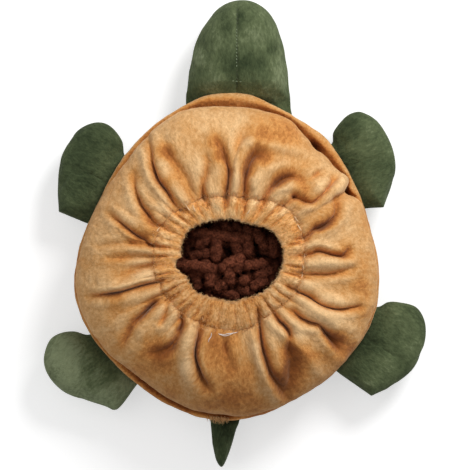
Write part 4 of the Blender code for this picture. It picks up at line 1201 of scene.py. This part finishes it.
def make_shell():
    """Crown and gore panels, puffed between their seams, with the stitching along the seams."""
    # Name, direction in degrees, flat size and flat area in metres, from the solid's own sizes
    gores = (
        ("front_right", 30.0, (0.100, 0.071), 0.0050), ("head", 90.0, (0.107, 0.080), 0.0060),
        ("front_left", 150.0, (0.099, 0.069), 0.0048), ("rear_left", 210.0, (0.105, 0.077), 0.0057),
        ("tail", 270.0, (0.107, 0.081), 0.0060), ("rear_right", 330.0, (0.104, 0.078), 0.0057),
    )

    def level(share_radius):
        """The dome's height at a mean radius."""
        share = np.clip((share_radius - SHELL_FLAT) / (WALL_RADIUS - SHELL_FLAT), 0, 1)
        return SHELL_RISE * (1 - np.sqrt(np.maximum(1 - share ** 2, 0)))

    def hexagon(turn):
        """The crown seam's radius at an angle."""
        return CROWN_RADIUS * math.cos(math.pi / 6) / np.cos(np.mod(turn, math.pi / 3) - math.pi / 6)

    def steepness(radius):
        """How far the dome has turned from a floor into a wall at a radius."""
        return smooth((radius - 60 * MM) / (38 * MM))

    steps, rows = 44, 26
    for name, degrees, flat_size, flat_area in gores:
        turns = np.radians(np.linspace(degrees - 29.85, degrees + 29.85, steps))
        share = np.linspace(0, 1, rows)
        start = hexagon(turns) + 0.2 * MM
        swell = body_swell(turns)
        arc = np.sin(share * math.pi / 2) * 0.35 + share * 0.65
        radius = start[:, None] / swell[:, None] + (WALL_RADIUS - start[:, None] / swell[:, None]) * arc[None]
        height = level(radius)
        radius = np.concatenate([radius, np.full((steps, 3), WALL_RADIUS)], 1)
        height = np.concatenate([height, np.tile((25.5 * MM, 27.0 * MM, 28.3 * MM), (steps, 1))], 1)
        count = rows + 3
        seam = np.minimum(turns - turns[0], turns[-1] - turns)[:, None] * radius
        inner = radius * swell[:, None] - start[:, None]
        groove = np.exp(-(seam / (2.2 * MM)) ** 1.2)
        groove = groove + np.exp(-(np.maximum(inner, 0) / GROOVE_WIDTH) ** 1.2)
        groove = np.minimum(groove, 1.0) * GROOVE_DEPTH
        puff = 0.9 * MM * np.sin(np.clip(seam / (14 * MM), 0, 1) * math.pi / 2)
        puff = puff * np.clip(inner / (12 * MM), 0, 1)
        steep = steepness(radius)
        out = (puff - groove) * steep
        sink = (groove - puff * smooth(height / (3 * MM))) * (1 - steep * 0.8)
        points = polar_grid(radius * swell[:, None] + out, turns, height + sink)
        if name in ("rear_left", "tail"):
            turn = np.degrees(turns) - BULGE_DEGREES
            push = BULGE * np.exp(-(turn / 4.5) ** 2)[:, None] * smooth((height - 14 * MM) / (10 * MM))
            points[..., 0] += push * np.cos(turns)[:, None]
            points[..., 1] += push * np.sin(turns)[:, None]
        flat = points.reshape(-1, 3)
        ripple = 0.25 * MM * noise_field(flat, 60, 3.0) * smooth(flat[:, 2] / (4 * MM))
        flat[:, 2] = np.maximum(flat[:, 2] + ripple, 0)
        faces = [
            (a, a + 1, a + 1 + count, a + count)
            for step in range(steps - 1) for a in range(step * count, step * count + count - 1)
        ]
        gore = green_panel("shell_gore_" + name + "_cloth", flat, faces, 0.46)
        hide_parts("shell_gore_" + name)

    turns = full_turn(120)
    share = np.concatenate([[0.004], np.linspace(0.1, 0.9, 9), np.linspace(0.93, 1.0, 6)])
    edge = hexagon(turns) - 0.2 * MM
    radius = edge[:, None] * share[None]
    groove = GROOVE_DEPTH * np.exp(-((edge[:, None] - radius) / GROOVE_WIDTH) ** 1.2)
    points = polar_grid(radius, turns, groove).reshape(-1, 3)
    faces = ring_faces(len(turns), len(share))
    faces.append(tuple(step * len(share) for step in reversed(range(len(turns)))))
    crown = green_panel("shell_crown_cloth", points, faces, 0.44)
    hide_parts("shell_crown_panel", "base_padding")

    lines = []
    for corner in range(6):
        turn = math.radians(60 * corner)
        swell = wave_at(turn)
        radius = 43.5 * MM
        while radius < 97 * MM:
            ends = []
            for offset in (0.0, 1.1, 2.2):
                spot = radius + offset * MM
                inside = 1.1 * MM * float(steepness(np.array(spot)))
                z = float(level(np.array(spot / swell))) + 1.15 * MM - inside * 0.6
                dip = 0.15 * MM if offset == 1.1 else 0
                ends.append((spot * math.cos(turn), spot * math.sin(turn), z - dip))
            lines.append(ends)
            radius += 3.6 * MM
        start, end = (
            np.array((CROWN_RADIUS * math.cos(side), CROWN_RADIUS * math.sin(side)))
            for side in (turn, math.radians(60 * corner + 60))
        )
        for stitch in range(12):
            a, b = (start + (end - start) * (stitch + share) / 12 for share in (0.15, 0.8))
            middle = (a + b) / 2
            lines.append([(*a, 1.25 * MM), (*middle, 1.05 * MM), (*b, 1.25 * MM)])
    tubes("shell_seam_stitches", lines, 0.3 * MM, GREEN_THREAD, "shell_and_belly")


def green_panel(name, points, faces, tone):
    """A shell panel of green plush at a mean tone, with its cloth's thickness."""
    panel = link_mesh(name, points, faces, GREEN)
    turn_outward(panel)
    set_tone(panel, tone + 0.10 * noise_field(points, 46, 6.0, 2))
    set_nap(panel, points)
    solidify(panel)
    return panel


def turn_outward(item):
    """Turns a shell panel's faces down and outward."""
    mesh = item.data
    total = 0.0
    for face in mesh.polygons:
        outward = Vector((face.center.x, face.center.y, 0)) * 0.4 + Vector((0, 0, -0.05))
        total += face.normal.dot(outward) * face.area
    if total < 0:
        mesh.flip_normals()


# Head, flippers and tail

LIMB_LEVEL = 23.5 * MM
# The filling's cloth simulation: its frames, how far it may move the cloth, and how coarse it is round
# a limb against the finished pillow's points round it and from its upper middle to its lower one
FILL_FRAMES = 20
FILL_REACH = 1.8 * MM
FILL_EVERY = 4
LIMB_STEPS = 240
LIMB_ROWS = 73
EYE_RADIUS = 4.4 * MM
# Picture outline from one end of the root round the tip to the other, the corner points in it, root
# direction and heading in degrees, half the root's width, thickness and rounding width in mm
LIMBS = {
    "head": (
        ((187, 112), (187, 96), (188, 84), (189.5, 72), (192, 60), (195, 48), (199.5, 36), (206, 24),
         (216, 11.5), (227, 4), (240, .8), (253, 2.5), (266, 10.5), (275, 23), (280, 36), (283.5, 48),
         (285.5, 60), (287.5, 72), (288.5, 84), (289.3, 96), (290.3, 108), (291, 116)),
        (), 86.2, 90.0, 31.4, 42.0, 31.0,
    ),
    "front_left_flipper": (
        ((124.4, 155.9), (121.4, 140.9), (110.9, 127.4), (98.9, 122.9), (85, 126.5), (73.4, 136.4),
         (61.4, 158.9), (57.9, 185.9), (58.8, 211.3), (87.5, 223)),
        (8,), 150.1, 153.1, 25.7, 21.0, 15.0,
    ),
    "front_right_flipper": (
        ((332, 143.9), (334.2, 131.9), (344.7, 118.4), (354, 113), (363.3, 113.3), (377.7, 122.9),
         (389.7, 143.9), (394.5, 164.9), (392, 182.9), (383.7, 206.8), (365, 208.3)),
        (9,), 35.2, 26.9, 25.7, 21.0, 15.0,
    ),
    "rear_left_flipper": (
        ((89, 335.1), (74, 332), (60, 334), (49.5, 341.7), (44.4, 359.7), (49.5, 376.2), (64.4, 391.2),
         (86.9, 400.2), (104.9, 406.2), (113.9, 409.8), (121.4, 404.7), (136.4, 384.6)),
        (), 221.3, 223.9, 22.8, 20.0, 14.0,
    ),
    "rear_right_flipper": (
        ((378.3, 307.3), (388, 302.8), (398.7, 302.8), (415.2, 307.3), (423.3, 319.2), (425, 334.2),
         (421.2, 350.7), (410.7, 370.2), (389.7, 386.7), (371.7, 395.7), (337.8, 371.7)),
        (9,), 327.4, 328.0, 22.8, 20.0, 14.0,
    ),
    "tail": (
        ((210.7, 421.2), (211.6, 431.7), (213.4, 446.6), (216.4, 460.1), (221.2, 466.7), (225.4, 461.6),
         (230.8, 446.6), (235.3, 431.7), (238.9, 419.7)),
        (), 268.6, 264.5, 9.5, 15.0, 8.0,
    ),
}
# Each limb's hinge in plan, in mm
HINGES = {
    "head": (6.84, 103.01), "front_left_flipper": (-79.0, 45.43), "front_right_flipper": (77.19, 54.45),
    "rear_left_flipper": (-74.86, -65.77), "rear_right_flipper": (84.75, -54.2), "tail": (-2.54, -103.86),
}
# Each limb's base tone, and its patches of brushed pile and of painted light and shade: picture point,
# radius in pixels, lighter (+) or darker (-)
LIMB_PILE_LIGHT_AND_SHADE = {
    "head": (0.58, (
        (228, 27, 9, -0.42), (245, 18, 8, -0.16), (215, 32, 14, 0.12), (232, 66, 11, -0.42),
        (248, 62, 8, -0.24), (272, 48, 6, -0.34), (260, 68, 8, -0.20), (204, 55, 12, 0.16),
        (262, 34, 12, 0.12), (214, 70, 10, 0.14), (278, 70, 9, 0.18), (200, 74, 8, -0.12),
        (240, 80, 8, -0.20), (222, 48, 8, 0.05), (246, 40, 7, 0.08), (234, 14, 3.5, 0.22),
        (240, 15, 4, -0.26), (241, 23, 4, -0.16), (212, 90, 12, 0.22), (266, 92, 14, 0.22),
        (240, 92, 12, 0.14), (206, 44, 8, -0.10), (286, 84, 6, 0.16),
    )),
    "front_left_flipper": (0.36, (
        (85, 150, 14, -0.12), (72, 168, 12, -0.08), (112, 160, 12, 0.22), (100, 148, 9, 0.12),
        (96, 200, 14, 0.14), (115, 135, 8, 0.05), (66, 200, 8, 0.06), (86, 178, 10, -0.10),
    )),
    "front_right_flipper": (0.48, (
        (350, 125, 12, -0.26), (345, 160, 12, -0.18), (372, 130, 12, 0.10), (388, 150, 9, 0.14),
        (360, 168, 14, -0.14), (372, 188, 12, 0.26), (356, 148, 8, 0.10), (388, 176, 8, 0.10),
    )),
    "rear_left_flipper": (0.90, (
        (104, 352, 13, -0.42), (114, 370, 12, -0.30), (66, 350, 14, 0.10), (70, 378, 14, 0.18),
        (100, 395, 10, 0.10), (92, 340, 10, -0.35), (52, 362, 8, 0.08), (86, 366, 8, -0.10),
    )),
    "rear_right_flipper": (0.50, (
        (366, 345, 14, -0.20), (380, 320, 12, -0.06), (402, 322, 14, 0.16), (388, 360, 14, 0.12),
        (412, 345, 10, 0.12), (370, 380, 10, 0.10), (356, 372, 10, -0.16), (396, 336, 7, -0.12),
    )),
    "tail": (0.18, ((218, 450, 10, 0.05), (228, 432, 8, -0.06), (231, 445, 5, 0.20))),
}


def wave_at(turn):
    """The rim outline's swell at one angle."""
    return float(body_swell(np.array([turn]))[0])


def limb_way(name):
    """The direction that a limb points in and the one to its left, in plan."""
    turn = math.radians(LIMBS[name][3])
    return np.array((math.cos(turn), math.sin(turn))), np.array((-math.sin(turn), math.cos(turn)))


def limb_outline(name):
    """A limb's edge in plan: the picture's outline closed by the root line along the shell."""
    outline, corners, root, _, half = LIMBS[name][:5]
    edge = [np.array(place(px, py)) for px, py in outline]
    middle = sum(edge) / len(edge)
    edge = [spot + (spot - middle) / np.linalg.norm(spot - middle) * 0.35 * MM for spot in edge]
    root = math.radians(root)
    spread = math.asin(half * MM / (WALL_RADIUS * wave_at(root)))
    side = 1 if edge[0][0] * math.sin(root) - edge[0][1] * math.cos(root) < 0 else -1
    roots = []
    for turn in root + side * spread * np.linspace(1, -1, 9):
        reach = WALL_RADIUS * wave_at(turn) + 0.6 * MM
        roots.append((reach * math.cos(turn), reach * math.sin(turn)))
    if math.dist(roots[0], edge[-1]) > math.dist(roots[-1], edge[-1]):
        roots.reverse()
    count = len(edge)
    pinned = tuple(corners) + (count, count + len(roots) - 1)
    return resample(curve_through(edge + roots, 14, closed=True, corners=pinned), LIMB_STEPS, closed=True)


def edge_distance(plan, edge):
    """Distance of each plan point to a closed line."""
    best = np.full(len(plan), 1e9)
    for start, end in zip(edge, np.roll(edge, -1, 0)):
        along = end - start
        share = np.clip((plan - start) @ along / (along @ along + 1e-15), 0, 1)
        best = np.minimum(best, np.linalg.norm(plan - start - share[:, None] * along, axis=1))
    return best


def limb_height(name, plan, distance):
    """Half the limb's thickness over a plan point at a distance from its edge."""
    thickness, rounding = LIMBS[name][5] * MM, LIMBS[name][6] * MM
    out = (plan - np.array(HINGES[name]) * MM) @ limb_way(name)[0]
    fullness = 0.26 + 0.74 * smooth(out / (22 * MM))
    round_off = np.sqrt(np.maximum(1 - (1 - np.clip(distance / rounding, 0, 1)) ** 2.2, 0))
    near_root = np.clip((out + 6 * MM) / (12 * MM), 0, 1)
    return thickness / 2 * fullness * round_off, near_root


def limb_shape(name):
    """A limb's pillow before it is filled: edge, points, freedom from the root and fullness."""
    edge = limb_outline(name)
    middle = edge.mean(axis=0)
    shares = np.concatenate([[0.012], np.linspace(0.07, 0.85, 24), 1 - np.geomspace(0.12, 0.004, 11), [1.0]])
    plan = middle + (edge - middle)[:, None] * shares[None, :, None]
    height, near_root = limb_height(name, plan.reshape(-1, 2), edge_distance(plan.reshape(-1, 2), edge))
    height = height.reshape(len(edge), -1)
    near_root = near_root.reshape(len(edge), -1)
    seam = np.zeros_like(height)
    if name == "head":
        x = plan[..., 0] - place(237, 0)[0]
        seam = 1.1 * MM * np.exp(-(np.abs(x) / (1.1 * MM)) ** 1.3) * np.clip(height / (8 * MM), 0, 1)
    above = np.concatenate([plan, (LIMB_LEVEL + height - seam)[..., None]], 2)
    below = np.concatenate([plan, (LIMB_LEVEL - height)[..., None]], 2)[:, -2::-1]
    give = np.concatenate([near_root, near_root[:, -2::-1]], 1)
    full = np.concatenate([height, height[:, -2::-1]], 1) / (LIMBS[name][5] * MM / 2)
    return edge, np.concatenate([above, below], 1), give, full


def pillow_faces(steps, rows):
    """Faces of a closed pillow whose rows run from its upper middle over the edge to its lower middle."""
    caps = [tuple(step * rows for step in range(steps))]
    caps.append(tuple(step * rows + rows - 1 for step in reversed(range(steps))))
    return ring_faces(steps, rows) + caps


def fill_limbs(shapes):
    """How far the filling moves each limb's cloth, held at its seam and root: one cloth simulation."""
    half = list(range(0, 25, 3)) + [28, 32, 36]
    picked = half + [LIMB_ROWS - 1 - row for row in half[-2::-1]]
    pads = {}
    for name, (_, points, give, _) in shapes.items():
        coarse = points[::FILL_EVERY][:, picked]
        mesh = bpy.data.meshes.new(name + "_filling")
        mesh.from_pydata(coarse.reshape(-1, 3).tolist(), [], pillow_faces(*coarse.shape[:2]))
        pad = add_object(name + "_filling", mesh)
        fix_normals(pad)
        held = np.maximum(1 - smooth(give[::FILL_EVERY][:, picked]), np.arange(len(picked)) == len(half) - 1)
        group = pad.vertex_groups.new(name="held")
        for index, weight in enumerate(held.ravel()):
            group.add([index], float(weight), "REPLACE")
        cloth = pad.modifiers.new("filling", "CLOTH")
        settings = cloth.settings
        settings.mass = 0.02
        settings.tension_stiffness = settings.compression_stiffness = 15
        settings.bending_stiffness = 0.05
        settings.use_pressure = True
        settings.uniform_pressure_force = 40
        settings.shrink_min = -0.03
        settings.vertex_group_mass = "held"
        settings.effector_weights.gravity = 0
        cloth.collision_settings.use_collision = False
        cloth.point_cache.frame_start, cloth.point_cache.frame_end = 1, FILL_FRAMES
        pads[name] = (pad, coarse)
    for frame_number in range(1, FILL_FRAMES + 1):
        bpy.context.scene.frame_set(frame_number)
    depsgraph = bpy.context.evaluated_depsgraph_get()
    moves = {}
    for name, (pad, coarse) in pads.items():
        filled = pad.evaluated_get(depsgraph).to_mesh()
        ends = np.zeros(coarse.size)
        filled.vertices.foreach_get("co", ends)
        offset = ends.reshape(coarse.shape) - coarse
        length = np.linalg.norm(offset, axis=2, keepdims=True)
        offset /= np.sqrt(1 + (length / FILL_REACH) ** 2)
        wrapped = np.concatenate([offset, offset[:1]])
        known = np.arange(LIMB_STEPS // FILL_EVERY + 1) * FILL_EVERY
        dense = np.stack([np.stack([
            np.interp(np.arange(LIMB_STEPS), known, wrapped[:, row, axis]) for row in range(len(picked))
        ], 1) for axis in range(3)], 2)
        dense = np.stack([np.stack([
            np.interp(np.arange(LIMB_ROWS), picked, dense[step, :, axis]) for axis in range(3)
        ], 1) for step in range(LIMB_STEPS)])
        for turn in (1, 2):
            dense = (np.roll(dense, turn, 0) + 2 * dense + np.roll(dense, -turn, 0)) / 4
        dense[:, 1:-1] = (dense[:, :-2] + 2 * dense[:, 1:-1] + dense[:, 2:]) / 4
        moves[name] = dense
    for pad, coarse in pads.values():
        bpy.data.objects.remove(pad)
    bpy.context.scene.frame_set(1)
    return moves


def make_limb(name, shape, moved):
    """One stuffed limb: its filled pillow with lumps of filling, brushed pile, and painted light and shade.
    """
    edge, points, give, full = shape
    flat = (points + moved).reshape(-1, 3)
    seed = sum(map(ord, name)) * 0.37
    up = np.sign(points.reshape(-1, 3)[:, 2] - LIMB_LEVEL)
    lumps = noise_field(flat, 38, seed) * 1.1 * MM + noise_field(flat, 110, seed + 4, 2) * 0.30 * MM
    flat[:, 2] += lumps * up * give.ravel() * np.sqrt(np.clip(full.ravel(), 0, 1))
    flat[:, 2] = np.maximum(flat[:, 2], 0.4 * MM)
    cover = link_mesh(name + "_cover", flat, pillow_faces(*points.shape[:2]), GREEN, None)
    fix_normals(cover)
    base, patches = LIMB_PILE_LIGHT_AND_SHADE[name]
    tone = base + 0.10 * noise_field(flat, 46, seed + 2, 2)
    # Brushed pile, and painted light and shade, in soft patches
    add_patches(tone, flat, patches)
    if name == "head":
        # Painted light and shade on the head: lighter left of the chin seam's ridge and darker right of it,
        # and painted shade along the neck
        right = (flat[:, 0] - place(236.8, 0)[0]) / PIXEL
        step = np.clip(right / 0.7, -1, 1) * np.exp(-np.abs(right) / 6)
        step = step * bell(flat[:, 1] - place(0, 20)[1], 12 * MM)
        neck = bell(flat[:, 1] - place(0, 90)[1] - 0.006 * (right / 25) ** 2, 5 * MM)
        tone -= 0.22 * step + 0.06 * neck
    set_tone(cover, tone)
    out, across = ((flat[:, :2] - edge.mean(axis=0)) @ way for way in limb_way(name))
    set_nap(cover, np.stack([across + seed, out * 0.45, flat[:, 2]], 1))
    replaced = [name + "_back_panel", name + "_stuffing"]
    if name == "head":
        replaced += ["head_belly_left_panel", "head_belly_right_panel"]
    else:
        replaced += [name + "_belly_panel"]
    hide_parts(*replaced)
    bend_at_root(cover)
    return flat


def bend_at_root(item):
    """Bakes a limb piece's placement into its points."""
    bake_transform(item)


def side_trees(points):
    """Lookup of a limb's upper (1) and lower (-1) surface points by place."""
    trees = {}
    for side in (1, -1):
        spots = points[side * (points[:, 2] - LIMB_LEVEL) > 0.3 * MM]
        trees[side] = (spots, plan_tree(spots))
    return trees


def surface_point(trees, x, y, side):
    """A point on a limb's upper or lower side."""
    spots, tree = trees[side]
    found = tree.find_n((x, y, 0), 5)
    near = [(spots[index][2], 1 / (distance + 0.1 * MM) ** 2) for _, index, distance in found]
    return Vector((x, y, sum(level * weight for level, weight in near) / sum(weight for _, weight in near)))


def make_head_details(trees):
    """Stitches down the chin seam and two satin-stitched eyes on the far side."""
    lines, pale = [], []
    runs = [((237, py), (237, py + 3.2), lines, 0.10) for py in np.arange(9, 88, 4.3)]
    runs += [((236.3, py), (236.9, py + 1.5), pale, 0.30) for py in np.arange(29.5, 68, 3.3)]
    runs += [
        ((px, 81.6 + 0.1 * (px - 233)), (px + 2.2, 81.4 + 0.1 * (px - 233)), pale, 0.05)
        for px in (232, 235.6, 239.4)
    ]
    for start, end, group, rise in runs:
        start, end = np.array(place(*start)), np.array(place(*end))
        line = []
        for share in (0, 0.5, 1):
            spot = surface_point(trees, *(start + (end - start) * share), 1)
            line.append((spot.x, spot.y, spot.z + (rise - 0.5 * abs(share - 0.5)) * MM))
        group.append(line)
    for title, group, radius, thread in (
        ("head_seam_stitches", lines, 0.26, GREEN_THREAD),
        ("head_seam_pale_stitches", pale, 0.42, PALE_THREAD),
    ):
        bend_at_root(tubes(title, group, radius * MM, thread, None))
    for name in ("head_left_eye", "head_right_eye"):
        low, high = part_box(name)
        cx, cy = (low[0] + high[0]) / 2, (low[1] + high[1]) / 2
        centre = surface_point(trees, cx, cy, -1)
        step = 1 * MM
        dx = surface_point(trees, cx + step, cy, -1) - centre
        dy = surface_point(trees, cx, cy + step, -1) - centre
        normal = dy.cross(dx).normalized()
        across = dx.normalized()
        along = normal.cross(across)
        lines = []
        for row in range(23):
            t = (row - 11) / 11.6
            half = EYE_RADIUS * math.sqrt(max(1 - t * t, 0.02))
            line = []
            for spot in np.linspace(-1, 1, 7):
                crown = 0.75 * MM * (1 - 0.6 * spot ** 2) * math.sqrt(max(1 - 0.8 * t * t, 0.1))
                point = centre + across * (t * EYE_RADIUS) + along * (half * spot)
                on = surface_point(trees, point.x, point.y, -1)
                line.append(tuple(on + normal * crown))
            lines.append(line)
        eye = tubes(name + "_satin_stitch", lines, 0.34 * MM, BLACK_THREAD, "head")
        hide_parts(name)


def make_limbs():
    """The head, the flippers and the tail, filled together and then finished one by one."""
    shapes = {name: limb_shape(name) for name in LIMBS}
    moves = fill_limbs(shapes)
    for name in LIMBS:
        points = make_limb(name, shapes[name], moves[name])
        if name == "head":
            make_head_details(side_trees(points))


make_camera()
make_stage()
ANGLES = full_turn(840)
GATHERS = gather_field(ANGLES)
skirt = make_skirt(GATHERS, ANGLES)
casing = make_casing(GATHERS, ANGLES)
BELLY = np.concatenate([mesh_points(skirt), mesh_points(casing)])
BELLY = BELLY[BELLY[:, 2] > 66 * MM]
BELLY_PLAN = plan_tree(BELLY)
make_casing_details()
make_mouth_fuzz()
lip = make_lip()
make_chenille()
make_shell()
make_limbs()
